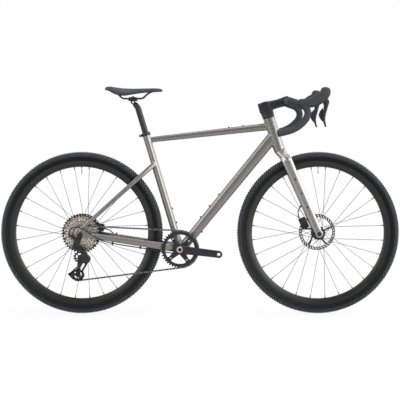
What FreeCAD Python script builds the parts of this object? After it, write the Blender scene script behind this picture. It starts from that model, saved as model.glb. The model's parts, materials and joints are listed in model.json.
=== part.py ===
"""Gravel bicycle with drop bar, single chainring and disc brakes.

Millimetres. +X points forward, +Y to the rider's left, +Z up. The origin lies
on the ground, midway between the wheels.
"""
import math
import os

import FreeCAD
import Part

V = FreeCAD.Vector
Y_AXIS = V(0, 1, 0)

# Frame and fork geometry
TYRE_WIDTH = 45.0
BEAD_SEAT_D = 622.0
WHEELBASE = 1036.0
BB_DROP = 68.0
CHAINSTAY_LENGTH = 436.0
SEAT_ANGLE = 73.4
HEAD_ANGLE = 71.5
SEAT_TUBE_LENGTH = 525.0
HEAD_TUBE_LENGTH = 150.0
CROWN_ABOVE_TYRE = 40.0
FORK_RAKE = 46.0
TYRE_CLEARANCE = 6.5

# Tube sizes, each as depth in the side view and width along Y
HEAD_TUBE_D = 51.0
HEAD_TUBE_BORE_D = 44.0
SEAT_TUBE_D = 33.0
SEATPOST_D = 27.2
BB_SHELL_D = 42.0
BB_SHELL_BORE_D = 35.0
BB_SHELL_WIDTH = 68.0
CUP_D = 44.0
CUP_T = 8.0
TOP_TUBE_REAR = (24.0, 23.0)
TOP_TUBE_FRONT = (33.0, 32.0)
TOP_TUBE_BELOW_SEAT_TOP = 30.0
TOP_TUBE_BELOW_HEAD_TOP = 38.0
DOWN_TUBE_FRONT = (50.0, 44.0)
DOWN_TUBE_REAR = (42.0, 40.0)
DOWN_TUBE_ABOVE_HEAD_FOOT = 72.0
DOWN_TUBE_BELOW_BB = 10.0
WALL = 2.0
SEATSTAY_BELOW_SEAT_TOP = 137.0

# Hubs and axles
FRONT_HUB_WIDTH = 100.0
REAR_HUB_WIDTH = 142.0
AXLE_D = 12.0
FLANGE_D = 58.0
FLANGE_T = 3.0
SPOKES = 28
SPOKE_D = 2.0
SPOKE_LIFT = 0.9
ROTOR_D = 160.0
ROTOR_T = 1.8
ROTOR_ARMS = 5
FRONT_ROTOR_Y = 40.0
REAR_ROTOR_Y = 56.0

# Rim
RIM_DEPTH = 27.0
RIM_WIDTH = 27.0
RIM_FLANGE = 5.5

# Drivetrain
CHAIN_PITCH = 12.7
CHAIN_LINKS = 114
RING_TEETH = 40
RING_Y = -49.7
COGS = (11, 13, 15, 17, 19, 21, 24, 28, 32, 37, 42)
CHAIN_COG_TEETH = 17
COG_PITCH = 3.74
COG_T = 1.6
PULLEY_TEETH = 13
CRANK_LENGTH = 170.0
CRANK_ANGLE = -7.0
CRANK_Q = 151.0
SPINDLE_D = 24.0

# Contact points
BAR_CLAMP_D = 31.8
BAR_D = 23.8
TAPE_T = 3.0
STEM_LENGTH = 93.0
STEM_STACK = 70.0
BAR_BELOW_STEM_TOP = 25.0
HOOD_HALF_WIDTH = 205.0
BAR_END_HALF_WIDTH = 238.0
POST_SHOWN = 120.0
POST_SETBACK = 20.73
POST_NECK_RISE = 21.9
RAIL_ABOVE_BARREL = 15.0
SADDLE_ABOVE_RAIL = 45.0
SADDLE_LENGTH = 250.0
SADDLE_WIDTH = 145.0
RAIL_D = 7.0
RAIL_SPACING = 44.0

# Fits
GAP = 0.3
RUNNING_FIT = 0.05
FLATNESS = 1e-6

# Flats on round pieces, and the turn of each step in a bend
TUBE_SIDES = 12
ROUND_SIDES = 10
WHEEL_SEGMENTS = 36
HUB_SEGMENTS = 12
ROTOR_SEGMENTS = 24
BAR_SIDES = 8
RAIL_SIDES = 6
SPOKE_SIDES = 3
CRANK_SIDES = 8
BEND_STEP = 0.5

# Points that the frame hangs on
WHEEL_R = BEAD_SEAT_D / 2 + TYRE_WIDTH
FORK_LENGTH = WHEEL_R + CROWN_ABOVE_TYRE
REAR_AXLE = V(-WHEELBASE / 2, 0, WHEEL_R)
FRONT_AXLE = V(WHEELBASE / 2, 0, WHEEL_R)
BB = REAR_AXLE + V(math.sqrt(CHAINSTAY_LENGTH**2 - BB_DROP**2), 0, -BB_DROP)
SEAT_UP = V(-math.cos(math.radians(SEAT_ANGLE)), 0, math.sin(math.radians(SEAT_ANGLE)))
STEER_UP = V(-math.cos(math.radians(HEAD_ANGLE)), 0, math.sin(math.radians(HEAD_ANGLE)))
STEER_FORWARD = V(STEER_UP.z, 0, -STEER_UP.x)
STEER_FOOT = FRONT_AXLE - STEER_FORWARD * FORK_RAKE
HEAD_TOP = FORK_LENGTH + HEAD_TUBE_LENGTH
STEM_TOP = HEAD_TOP + STEM_STACK

SHAPES = {}


def steer(height, forward=0.0, y=0.0):
    """A point given along and ahead of the steering axis."""
    return STEER_FOOT + STEER_UP * height + STEER_FORWARD * forward + V(0, y, 0)


def seat(height, behind=0.0, y=0.0):
    """A point given along and behind the seat tube's axis."""
    return BB + SEAT_UP * height + V(-SEAT_UP.z, 0, SEAT_UP.x) * behind + V(0, y, 0)


def polar(centre, radius, angle):
    """A point about a Y axis, with the angle in radians from +X towards +Z."""
    return centre + V(radius * math.cos(angle), 0, radius * math.sin(angle))


def mirrored(shape):
    """The shape on the other side of the bicycle."""
    return shape.mirror(V(0, 0, 0), Y_AXIS)


def both_sides(shape):
    return Part.makeCompound([shape, mirrored(shape)])


def facets(centre, along, radius, sides):
    """Corners of a regular polygon across a direction, on a circle of the radius."""
    helper = V(0, 0, 1) if abs(along.y) > 0.9 * along.Length else Y_AXIS
    across = along.cross(helper).normalize()
    up = V(along).normalize().cross(across)
    angles = [math.tau * i / sides for i in range(sides)]
    return [centre + across * (radius * math.cos(a)) + up * (radius * math.sin(a)) for a in angles]


def rod(start, end, radius, sides=ROUND_SIDES):
    """A round bar drawn with flats, whose corners lie on the radius."""
    return Part.Face(polygon(facets(start, end - start, radius, sides))).extrude(end - start)


def bore(start, end, radius, sides=ROUND_SIDES):
    """Material to cut for a round hole drawn with flats, whose flats lie on the radius."""
    return rod(start, end, radius / math.cos(math.pi / sides), sides)


def rod_y(centre, radius, y0, y1, sides=ROUND_SIDES):
    """A round bar along Y between two side positions."""
    return rod(V(centre.x, y0, centre.z), V(centre.x, y1, centre.z), radius, sides)


def bore_y(centre, radius, y0, y1, sides=ROUND_SIDES):
    return bore(V(centre.x, y0, centre.z), V(centre.x, y1, centre.z), radius, sides)


def drilled(centre, radius, y0, y1):
    """Material to cut for a truly round hole along Y, for holes that something screws into."""
    return Part.makeCylinder(radius, y1 - y0, V(centre.x, y0, centre.z), Y_AXIS)


def polygon(points):
    return Part.makePolygon(list(points) + [points[0]])


def plate(points, y0, y1):
    """A flat piece with straight edges in the side view."""
    outline = polygon([V(p.x, y0, p.z) for p in points])
    return Part.Face(outline).extrude(V(0, y1 - y0, 0))


def arm(a, radius_a, b, radius_b, y0, y1, end_sides=4):
    """A flat arm with two rounded ends in the side view."""
    run = V(b.x - a.x, 0, b.z - a.z)
    heading = math.atan2(run.z, run.x)
    lean = math.acos((radius_a - radius_b) / run.Length)
    points = []
    for i in range(end_sides + 1):
        points.append(polar(b, radius_b, heading - lean + 2 * lean * i / end_sides))
    for i in range(end_sides + 1):
        sweep = 2 * (math.pi - lean)
        points.append(polar(a, radius_a, heading + lean + sweep * i / end_sides))
    return plate(points, y0, y1)


def oval(centre, along, depth, width, sides=TUBE_SIDES):
    """An oval outline across a direction that lies in the side view."""
    across = V(-along.z, 0, along.x).normalize()
    angles = [math.tau * i / sides for i in range(sides)]
    return [
        centre + across * (depth / 2 * math.cos(a)) + Y_AXIS * (width / 2 * math.sin(a)) for a in angles
    ]


def panel(a, b, c, d):
    """Flat faces over four corners: one where they lie in a plane, otherwise two triangles."""
    across = (b - a).cross(c - a)
    if abs(across.dot(d - a)) < FLATNESS * across.Length:
        return [Part.Face(polygon([a, b, c, d]))]
    return [Part.Face(polygon([a, b, c])), Part.Face(polygon([a, c, d]))]


def loft(outlines, closed=False):
    """A solid of flat panels through outlines of equally many points, or a closed loop of them."""
    pairs = list(zip(outlines, outlines[1:]))
    if closed:
        pairs.append((outlines[-1], outlines[0]))
        faces = []
    else:
        faces = [Part.Face(polygon(outlines[0])), Part.Face(polygon(outlines[-1]))]
    for low, high in pairs:
        for i in range(len(low)):
            faces += panel(low[i - 1], low[i], high[i], high[i - 1])
    solid = Part.makeSolid(Part.makeShell(faces))
    if solid.Volume < 0:
        solid.reverse()
    return solid


def straight_tube(start, end, first, last, inset):
    """A tapering oval tube, and the closed hollow that keeps inset away from both ends."""
    unit = (end - start).normalize()
    outer = loft([oval(start, unit, *first), oval(end, unit, *last)])
    inner = loft([
        oval(start + unit * inset, unit, first[0] - 2 * WALL, first[1] - 2 * WALL),
        oval(end - unit * inset, unit, last[0] - 2 * WALL, last[1] - 2 * WALL),
    ])
    return outer, inner


def ring(centre, profile, segments):
    """A solid turned about a Y axis, in flat segments, from a closed profile of (radius, y) points."""
    outlines = []
    for i in range(segments):
        angle = math.tau * i / segments
        outlines.append([polar(centre, r, angle) + V(0, y, 0) for r, y in profile])
    return loft(outlines, True)


def route(points, bends):
    """A wire of straight runs joined by tangent arcs, with one bend radius for each corner."""
    edges = []
    last = points[0]
    for before, corner, after, bend in zip(points, points[1:], points[2:], bends):
        back = (before - corner).normalize()
        on = (after - corner).normalize()
        half = back.getAngle(on) / 2
        reach = bend / math.tan(half)
        middle = corner + (back + on).normalize() * (bend / math.sin(half) - bend)
        edges.append(Part.makeLine(last, corner + back * reach))
        edges.append(Part.Arc(corner + back * reach, middle, corner + on * reach).toShape())
        last = corner + on * reach
    edges.append(Part.makeLine(last, points[-1]))
    return Part.Wire(edges)


def swept(path, radius, sides):
    """A bar or hose along a wire, its bends drawn in short straight steps."""
    stops = []
    for edge in path.Edges:
        steps = 1
        if edge.Curve.TypeId == "Part::GeomCircle":
            turn = edge.Length / edge.Curve.Radius
            steps = max(2, math.ceil(turn / BEND_STEP))
        first, last = edge.FirstParameter, edge.LastParameter
        for i in range(steps):
            at = first + (last - first) * i / steps
            stops.append((edge.valueAt(at), edge.tangentAt(at)))
    edge = path.Edges[-1]
    stops.append((edge.valueAt(edge.LastParameter), edge.tangentAt(edge.LastParameter)))
    across = None
    outlines = []
    for point, along in stops:
        if across is None:
            across = along.cross(V(0, 0, 1) if abs(along.z) < 0.9 else V(1, 0, 0))
        across = (across - along * across.dot(along)).normalize()
        up = along.cross(across)
        angles = [math.tau * i / sides for i in range(sides)]
        outlines.append([
            point + across * (radius * math.cos(a)) + up * (radius * math.sin(a)) for a in angles
        ])
    return loft(outlines)


# Frame

def make_frame():
    head = rod(steer(FORK_LENGTH), steer(HEAD_TOP), HEAD_TUBE_D / 2, TUBE_SIDES)
    head_bore = rod(steer(FORK_LENGTH), steer(HEAD_TOP), HEAD_TUBE_BORE_D / 2)
    seat_tube = rod(BB, seat(SEAT_TUBE_LENGTH), SEAT_TUBE_D / 2, TUBE_SIDES)
    post_bore = bore(BB, seat(SEAT_TUBE_LENGTH), SEATPOST_D / 2 + RUNNING_FIT)
    half_shell = BB_SHELL_WIDTH / 2
    shell = rod_y(BB, BB_SHELL_D / 2, -half_shell, half_shell)
    shell_bore = rod_y(BB, BB_SHELL_BORE_D / 2, -half_shell, half_shell)
    cups = rod_y(BB, CUP_D / 2 + GAP, -2 * half_shell, 2 * half_shell)
    cups = cups.cut(rod_y(BB, BB_SHELL_D, -half_shell, half_shell))

    top, top_hollow = straight_tube(
        seat(SEAT_TUBE_LENGTH - TOP_TUBE_BELOW_SEAT_TOP),
        steer(HEAD_TOP - TOP_TUBE_BELOW_HEAD_TOP),
        TOP_TUBE_REAR, TOP_TUBE_FRONT, 1.2 * HEAD_TUBE_D,
    )
    down, down_hollow = straight_tube(
        BB - V(0, 0, DOWN_TUBE_BELOW_BB),
        steer(FORK_LENGTH + DOWN_TUBE_ABOVE_HEAD_FOOT),
        DOWN_TUBE_REAR, DOWN_TUBE_FRONT, 1.6 * HEAD_TUBE_D,
    )
    SHAPES["head_tube"] = head.cut(head_bore)
    SHAPES["seat_tube"] = seat_tube.cut(post_bore).cut(shell)
    SHAPES["bottom_bracket_shell"] = shell.cut(shell_bore)
    SHAPES["top_tube"] = top.cut(head).cut(seat_tube).cut(top_hollow)
    SHAPES["down_tube"] = down.cut(head).cut(seat_tube).cut(shell).cut(top).cut(down_hollow)

    chainstay = make_chainstay().cut(shell).cut(seat_tube).cut(cups)
    SHAPES["chainstays"] = both_sides(chainstay)
    SHAPES["seatstays"] = both_sides(make_seatstay().cut(seat_tube))
    make_dropouts()

    foot, top = SEAT_TUBE_LENGTH - 10, SEAT_TUBE_LENGTH + 4
    collar = rod(seat(foot), seat(top), SEAT_TUBE_D / 2 + 3.5)
    lug_centre = SEAT_TUBE_D / 2 + 5
    lug = loft([
        oval(seat(foot + 1, lug_centre), SEAT_UP, 14, 16, 8),
        oval(seat(top - 1, lug_centre), SEAT_UP, 14, 16, 8),
    ])
    SHAPES["seat_clamp"] = collar.fuse(lug).cut(seat_tube).cut(
        bore(seat(foot), seat(top + 1), SEATPOST_D / 2 + RUNNING_FIT)
    )


def stay_point(share, y):
    """A point on the line from the bottom bracket to the rear axle, moved out to y."""
    return BB + (REAR_AXLE - BB) * share + V(0, y, 0)


def make_chainstay():
    """Left chainstay: deep at the bottom bracket, slim and splayed at the dropout."""
    along = REAR_AXLE - BB
    tyre_side = TYRE_WIDTH / 2 + TYRE_CLEARANCE
    end_y = REAR_HUB_WIDTH / 2 + 4
    return loft([
        oval(stay_point(0.02, 21), along, 38, 20),
        oval(stay_point(0.18, tyre_side + 8), along, 33, 15),
        oval(stay_point(0.50, tyre_side + 22), along, 29, 17),
        oval(stay_point(0.80, end_y - 9), along, 25, 15),
        oval(stay_point(0.955, end_y), along, 21, 8),
    ])


SEATSTAY_TOP = seat(SEAT_TUBE_LENGTH - SEATSTAY_BELOW_SEAT_TOP)
SEATSTAY_END = REAR_AXLE + V(10, 0, 28)


def make_seatstay():
    """Left seatstay, spread early to pass the tyre."""
    along = SEATSTAY_END - SEATSTAY_TOP
    tyre_side = TYRE_WIDTH / 2 + TYRE_CLEARANCE
    end_y = REAR_HUB_WIDTH / 2 + 4

    def at(share, y):
        return SEATSTAY_TOP + along * share + V(0, y, 0)

    return loft([
        oval(at(0.0, 13), along, 22, 15),
        oval(at(0.20, tyre_side + 8), along, 20, 15),
        oval(at(0.55, tyre_side + 27), along, 19, 14),
        oval(at(0.88, end_y - 2), along, 17, 11),
        oval(at(1.0, end_y), along, 16, 8),
    ])


B_BOLT = REAR_AXLE + V(-13, 0, -31)
DROPOUT_R = 18.0


def make_dropouts():
    """Plates that hold the rear axle, and the derailleur hanger below the right one."""
    inner = REAR_HUB_WIDTH / 2
    outer = inner + 8
    stays = make_chainstay().fuse(make_seatstay())
    body = arm(REAR_AXLE, DROPOUT_R, stay_point(0.93, 0), 12, inner, outer)
    body = body.fuse(arm(REAR_AXLE, DROPOUT_R, SEATSTAY_END, 10, inner, outer))
    hanger = arm(REAR_AXLE, 15, B_BOLT, 10, -outer, -inner).cut(mirrored(body))
    SHAPES["derailleur_hanger"] = hanger.cut(bore_y(B_BOLT, 5, -outer, -inner))
    body = body.cut(stays).cut(bore_y(REAR_AXLE, AXLE_D / 2, inner, outer))
    SHAPES["dropouts"] = both_sides(body)


def make_bearings():
    """Headset bearings and bottom bracket cups, which carry the turning shafts."""
    upper = rod(steer(HEAD_TOP - 9), steer(HEAD_TOP - 1), HEAD_TUBE_BORE_D / 2)
    lower = rod(steer(FORK_LENGTH + 1), steer(FORK_LENGTH + 9), HEAD_TUBE_BORE_D / 2)
    SHAPES["headset_bearings"] = Part.makeCompound([
        upper.cut(make_steerer(bore, RUNNING_FIT)),
        lower.cut(make_steerer(bore, RUNNING_FIT)),
    ])
    half = BB_SHELL_WIDTH / 2
    cup = rod_y(BB, BB_SHELL_BORE_D / 2, half - 12, half)
    cup = cup.fuse(rod_y(BB, CUP_D / 2, half, half + CUP_T))
    cup = cup.cut(bore_y(BB, SPINDLE_D / 2 + RUNNING_FIT, half - 12, half + CUP_T))
    SHAPES["bottom_bracket_cups"] = both_sides(cup)


# Fork and cockpit

STEERER_D = 28.6
STEERER_FOOT_D = 38.1


def make_steerer(draw, extra=0.0):
    """The tapered steerer, drawn as a rod or, to cut its fit, as a bore with extra radius."""
    foot = draw(steer(FORK_LENGTH - 20), steer(FORK_LENGTH + 30), STEERER_FOOT_D / 2 + extra)
    upper = draw(steer(FORK_LENGTH + 30), steer(STEM_TOP - 1), STEERER_D / 2 + extra)
    return foot.fuse(upper)


LEG_TOP = steer(FORK_LENGTH - 28, 13)
LEG_TIP_R = 17.0
LEG_BOSSES = (0.30, 0.48, 0.66)
BOSS_HOLE_R = 2.5


def make_fork():
    """Tapered steerer, arched crown and two straight bladed legs."""
    along = FRONT_AXLE - LEG_TOP
    tyre_side = TYRE_WIDTH / 2 + TYRE_CLEARANCE
    inner = FRONT_HUB_WIDTH / 2 + GAP

    def at(share, y):
        return LEG_TOP + along * share + V(0, y, 0)

    leg = loft([
        oval(at(0.0, tyre_side + 8), along, 48, 23),
        oval(at(0.25, tyre_side + 11), along, 43, 21),
        oval(at(0.6, tyre_side + 17), along, 39, 19),
        oval(at(0.96, inner + 8), along, 34, 15.6),
    ])
    tip = rod_y(FRONT_AXLE, LEG_TIP_R, inner, inner + 15.6)
    leg = leg.fuse(tip).cut(bore_y(FRONT_AXLE, AXLE_D / 2, inner, inner + 30))
    for share in LEG_BOSSES:
        leg = leg.cut(bore_y(at(share, 0), BOSS_HOLE_R, tyre_side + 14, tyre_side + 40, 6))
    crown = loft([
        oval(steer(FORK_LENGTH - GAP), STEER_UP, HEAD_TUBE_D, HEAD_TUBE_D),
        oval(at(0.03, 0), along * -1, 47, 2 * tyre_side + 35),
    ])
    arch = rod_y(FRONT_AXLE, WHEEL_R + TYRE_CLEARANCE, -tyre_side, tyre_side, WHEEL_SEGMENTS)
    fork = crown.fuse(leg).fuse(mirrored(leg)).fuse(make_steerer(rod)).cut(arch)
    SHAPES["fork"] = fork.removeSplitter()


STEM_FOOT = HEAD_TOP + 30
STEM_DEPTH = 56.0
STEM_WIDTH = 44.0
BAR_CENTRE = steer(STEM_TOP - BAR_BELOW_STEM_TOP, STEM_LENGTH)


def make_stem():
    """Headset cover, stem with its bar clamp, and the faceplate that closes the clamp."""
    steerer = make_steerer(rod)
    cover = loft([
        oval(steer(HEAD_TOP + GAP), STEER_UP, HEAD_TUBE_D, HEAD_TUBE_D),
        oval(steer(STEM_FOOT), STEER_UP, STEM_DEPTH, STEM_WIDTH),
    ])
    cap = rod(steer(STEM_TOP), steer(STEM_TOP + 3), STEERER_D / 2 + 1)
    SHAPES["headset_cover"] = Part.makeCompound([cover.cut(steerer), cap])

    body = loft([
        oval(steer(STEM_FOOT), STEER_UP, STEM_DEPTH, STEM_WIDTH),
        oval(steer(STEM_TOP), STEER_UP, STEM_DEPTH - 4, STEM_WIDTH - 2),
    ])
    root = steer((STEM_FOOT + STEM_TOP) / 2)
    ahead = BAR_CENTRE - root
    neck = loft([
        oval(root + ahead * 0.1, ahead, 39, 38),
        oval(root + ahead * 0.6, ahead, 34, 33),
        oval(root + ahead * 0.95, ahead, 41, 40),
    ])
    half = STEM_WIDTH / 2
    clamp = rod_y(BAR_CENTRE, BAR_CLAMP_D / 2 + 5.5, -half, half)
    bar = rod_y(BAR_CENTRE, BAR_CLAMP_D / 2, -half, half)
    split = BAR_CENTRE + V(ahead).normalize() * 1.0
    front = loft([oval(split, ahead, 160, 160, 4), oval(split + ahead, ahead, 160, 160, 4)])
    stem = body.fuse(neck).fuse(clamp).cut(bar).cut(steerer).cut(front)
    SHAPES["stem"] = stem.removeSplitter()
    seam = split + V(ahead).normalize() * 1.2
    behind = loft([oval(seam, ahead, 160, 160, 4), oval(seam - ahead, ahead, 160, 160, 4)])
    SHAPES["stem_faceplate"] = clamp.cut(bar).cut(behind)


BAR_REACH = 82.0
BAR_DROP = 140.0
BAR_END = BAR_CENTRE + V(-46, BAR_END_HALF_WIDTH, -BAR_DROP)
PLUG_T = 5.0


def bar_route():
    """The left half of the handlebar's centre line: top, ramp, hook and drop."""
    return route([
        BAR_CENTRE,
        BAR_CENTRE + V(2, HOOD_HALF_WIDTH - 8, 0),
        BAR_CENTRE + V(BAR_REACH, HOOD_HALF_WIDTH, 5),
        BAR_CENTRE + V(BAR_REACH - 10, HOOD_HALF_WIDTH + 12, 32 - BAR_DROP),
        BAR_END,
    ], (38.0, 34.0, 50.0))


def make_handlebar():
    """Drop bar with its thicker clamped middle, tape and end plugs."""
    path = bar_route()
    half = swept(path, BAR_D / 2, BAR_SIDES)
    middle = rod_y(BAR_CENTRE, BAR_CLAMP_D / 2, -40, 40)
    SHAPES["handlebar"] = half.fuse(mirrored(half)).fuse(middle).removeSplitter()
    keep = Part.makeBox(200, 300, 400, BAR_CENTRE + V(-60, 62, -200))
    sleeve = swept(path, BAR_D / 2 + TAPE_T, BAR_SIDES).common(keep)
    SHAPES["bar_tape"] = both_sides(sleeve.cut(half))
    on = path.Edges[-1].tangentAt(path.Edges[-1].LastParameter)
    plug = swept(Part.Wire([Part.makeLine(BAR_END, BAR_END + on * PLUG_T)]), BAR_D / 2 + TAPE_T, BAR_SIDES)
    SHAPES["bar_end_plugs"] = both_sides(plug)
    return sleeve


LEVER_PIVOT = BAR_CENTRE + V(138, HOOD_HALF_WIDTH, 5)
LEVER_T = 11.0


def make_levers(taped_bar):
    """Rubber hoods, brake levers on their pins, and the right shift paddle."""
    p = LEVER_PIVOT

    def hood_oval(dx, dz, along, depth, width):
        return oval(p + V(dx, 0, dz), along, depth, width, BAR_SIDES)

    hood = loft([
        hood_oval(-92, -9, V(1, 0, 0.05), 36, 33),
        hood_oval(-45, -11, V(1, 0, 0.2), 42, 35),
        hood_oval(-8, 3, V(1, 0, 0.7), 48, 34),
        hood_oval(14, 24, V(0.45, 0, 1), 42, 31),
        hood_oval(17, 46, V(0.05, 0, 1), 27, 24),
    ])
    slot_y = p.y - LEVER_T / 2 - GAP
    slot_outline = [p + V(-12, 0, 12), p + V(45, 0, 12), p + V(45, 0, -70), p + V(-45, 0, -70)]
    slot = plate(slot_outline, slot_y, slot_y + LEVER_T + 2 * GAP)
    pin = rod_y(p, 2.5, p.y - 14, p.y + 14, 8)
    body = hood.cut(taped_bar).cut(slot).cut(pin)
    body = max(body.Solids, key=lambda solid: solid.Volume)
    SHAPES["lever_hoods"] = Part.makeCompound([body, pin, mirrored(body), mirrored(pin)])

    root = [p + V(-6, 0, -4), p + V(-2, 0, 6), p + V(20, 0, 8)]
    front = [root[-1], p + V(33, 0, -10), p + V(23, 0, -40), p + V(14, 0, -78), p + V(21, 0, -118)]
    back = [front[-1], p + V(13, 0, -116), p + V(2, 0, -82), p + V(7, 0, -40), root[0]]
    blade = plate(root + front[1:] + back[1:-1], p.y - LEVER_T / 2, p.y + LEVER_T / 2)
    blade = blade.cut(bore_y(p, 2.5 + RUNNING_FIT, p.y - 20, p.y + 20, 8))
    SHAPES["left_brake_lever"] = blade
    SHAPES["right_brake_lever"] = mirrored(blade)

    inside = -(p.y - LEVER_T / 2 - GAP)
    hinge_top = p + V(6, 0, -36)
    hinge_foot = p + V(3, 0, -92)
    paddle = plate(
        [hinge_top, p + V(-6, 0, -48), p + V(-14, 0, -66), p + V(-8, 0, -84), hinge_foot],
        inside, inside + 4,
    )
    SHAPES["right_shift_paddle"] = paddle


# Wheels

RIM_OUTER_R = BEAD_SEAT_D / 2 + RIM_FLANGE
RIM_INNER_R = RIM_OUTER_R - RIM_DEPTH


def make_wheel(name, axle, left_flange, right_flange, left_end, right_end, rotor_y):
    half_rim = RIM_WIDTH / 2
    bead_half = half_rim - 2.5
    bead_r = BEAD_SEAT_D / 2 - 2
    SHAPES[name + "_rim"] = ring(axle, [
        (RIM_INNER_R, -7), (RIM_INNER_R, 7), (RIM_OUTER_R, half_rim),
        (bead_r, bead_half), (bead_r, -bead_half), (RIM_OUTER_R, -half_rim),
    ], WHEEL_SEGMENTS)
    half = TYRE_WIDTH / 2
    wide_r = WHEEL_R - half
    SHAPES[name + "_tyre"] = ring(axle, [
        (bead_r, -bead_half), (RIM_OUTER_R, -half_rim), (wide_r, -half), (WHEEL_R - 5, -0.72 * half),
        (WHEEL_R, -0.3 * half), (WHEEL_R, 0.3 * half), (WHEEL_R - 5, 0.72 * half), (wide_r, half),
        (RIM_OUTER_R, half_rim), (bead_r, bead_half),
        (wide_r, half - 4), (WHEEL_R - 9, 0), (wide_r, -half + 4),
    ], WHEEL_SEGMENTS)
    SHAPES[name + "_hub"] = make_hub(axle, left_flange, right_flange, left_end, right_end)
    SHAPES[name + "_spokes"] = make_spokes(axle, left_flange, right_flange)
    SHAPES[name + "_rotor"] = make_rotor(axle, rotor_y)


def make_hub(axle, left_flange, right_flange, left_end, right_end):
    """Hub shell with two flanges, bored to turn on the axle."""
    flange = FLANGE_D / 2
    half = FLANGE_T / 2
    inside = AXLE_D / 4
    shell = ring(axle, [
        (inside, right_end), (12, right_end), (12, right_flange - half), (flange, right_flange - half),
        (flange, right_flange + half), (17, right_flange + half), (14, right_flange + 8),
        (14, left_flange - 8), (17, left_flange - half), (flange, left_flange - half),
        (flange, left_flange + half), (17, left_flange + half), (17, left_end), (inside, left_end),
    ], HUB_SEGMENTS)
    return shell.cut(bore_y(axle, AXLE_D / 2 + RUNNING_FIT, right_end, left_end))


def make_spokes(axle, left_flange, right_flange):
    """Crossed spokes: on each flange every other spoke leans forwards, the rest backwards."""
    spokes = []
    per_flange = SPOKES // 2
    cross = 2 * math.tau / per_flange
    hole_r = FLANGE_D / 2 - 3
    spoke_end_r = RIM_INNER_R * math.cos(math.pi / WHEEL_SEGMENTS) - SPOKE_D / 2
    for i in range(SPOKES):
        left = i % 2 == 0
        leads = (i // 2) % 2 == 0
        flange = left_flange if left else right_flange
        outside = 1 if left else -1
        side = outside * (FLANGE_T / 2 + SPOKE_D / 2 + SPOKE_LIFT)
        if not leads:
            side = -outside * (FLANGE_T / 2 + SPOKE_D / 2)
        rim_angle = math.tau * (i + 0.5) / SPOKES
        hub_angle = rim_angle + (cross if leads else -cross)
        start = polar(axle, hole_r, hub_angle) + V(0, flange + side, 0)
        end = polar(axle, spoke_end_r, rim_angle) + V(0, 3.0 * outside, 0)
        spokes.append(rod(start, end, SPOKE_D / 2, SPOKE_SIDES))
    return Part.makeCompound(spokes)


def regular(centre, radius, sides, turn=0.0):
    return [polar(centre, radius, turn + math.tau * i / sides) for i in range(sides)]


def make_rotor(axle, y):
    """Brake rotor: a slim ring carried by swept arms on a splined hub ring."""
    y0, y1 = y - ROTOR_T / 2, y + ROTOR_T / 2
    rim = plate(regular(axle, ROTOR_D / 2, ROTOR_SEGMENTS), y0, y1)
    rim = rim.cut(plate(regular(axle, ROTOR_D / 2 - 14, ROTOR_SEGMENTS), y0, y1))
    spider = plate(regular(axle, 26, ROUND_SIDES), y0, y1)
    for i in range(ROTOR_ARMS):
        turn = math.tau * i / ROTOR_ARMS
        foot = polar(axle, 22, turn)
        head = polar(axle, ROTOR_D / 2 - 12, turn + 0.35)
        spider = spider.fuse(arm(foot, 6, head, 4.5, y0, y1, 1))
    hole = bore_y(axle, 17, y0, y1)
    return rim.fuse(spider).cut(hole).removeSplitter()


def make_axles():
    """Through axles, each screwed in from the left up to its head."""
    for name, axle, half, plate_t in (
        ("front", FRONT_AXLE, FRONT_HUB_WIDTH / 2, 15.9),
        ("rear", REAR_AXLE, REAR_HUB_WIDTH / 2, 8.0),
    ):
        face = half + plate_t
        shaft = rod_y(axle, AXLE_D / 2, -face - 3, face)
        SHAPES[name + "_axle"] = shaft.fuse(rod_y(axle, 9, face, face + 3))


# Drivetrain

def pitch_radius(teeth):
    return CHAIN_PITCH / (2 * math.sin(math.pi / teeth))


SMALL_COG_Y = -(REAR_HUB_WIDTH / 2 - 4.5)
COG_Y = {teeth: SMALL_COG_Y + i * COG_PITCH for i, teeth in enumerate(COGS)}
CHAIN_Y = COG_Y[CHAIN_COG_TEETH]
CAGE_PIVOT = REAR_AXLE + V(23, 0, -108)
GUIDE_REACH = 29.5
GUIDE_TURN = math.radians(166.0)
TENSION_REACH = 79.5
TENSION_TURN = math.radians(240.5)


def pulley_centres(swing):
    """Guide and tension pulley centres with the cage swung back by an angle."""
    guide = polar(CAGE_PIVOT, GUIDE_REACH, GUIDE_TURN - swing)
    tension = polar(CAGE_PIVOT, TENSION_REACH, TENSION_TURN - swing)
    return guide, tension


def chain_path(swing):
    """The chain's closed centre line as (length, point at a distance) stretches.

    The wheels are listed in the chain's own order of travel, with +1 for those
    that it turns clockwise as seen from the drive side and -1 for the other.
    """
    guide, tension = pulley_centres(swing)
    wheels = [
        (REAR_AXLE, pitch_radius(CHAIN_COG_TEETH), 1),
        (BB, pitch_radius(RING_TEETH), 1),
        (tension, pitch_radius(PULLEY_TEETH), 1),
        (guide, pitch_radius(PULLEY_TEETH), -1),
    ]
    runs = []
    for (a, ra, sa), (b, rb, sb) in zip(wheels, wheels[1:] + wheels[:1]):
        gap = V(b.x - a.x, 0, b.z - a.z)
        rise = sb * rb - sa * ra
        length = math.sqrt(gap.Length**2 - rise**2)
        heading = math.atan2(gap.z, gap.x) + math.atan2(rise, length)
        left = V(-math.sin(heading), 0, math.cos(heading))
        runs.append((a + left * (sa * ra), length, heading))
    stretches = []
    for i, (centre, radius, sense) in enumerate(wheels):
        start, length, heading = runs[i]
        before = runs[i - 1][2]
        turn = (before - heading) * sense % math.tau
        from_angle = before + sense * math.pi / 2
        stretches.append((turn * radius, ("arc", centre, radius, from_angle, -sense)))
        stretches.append((length, ("line", start, heading)))
    return stretches


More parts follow.
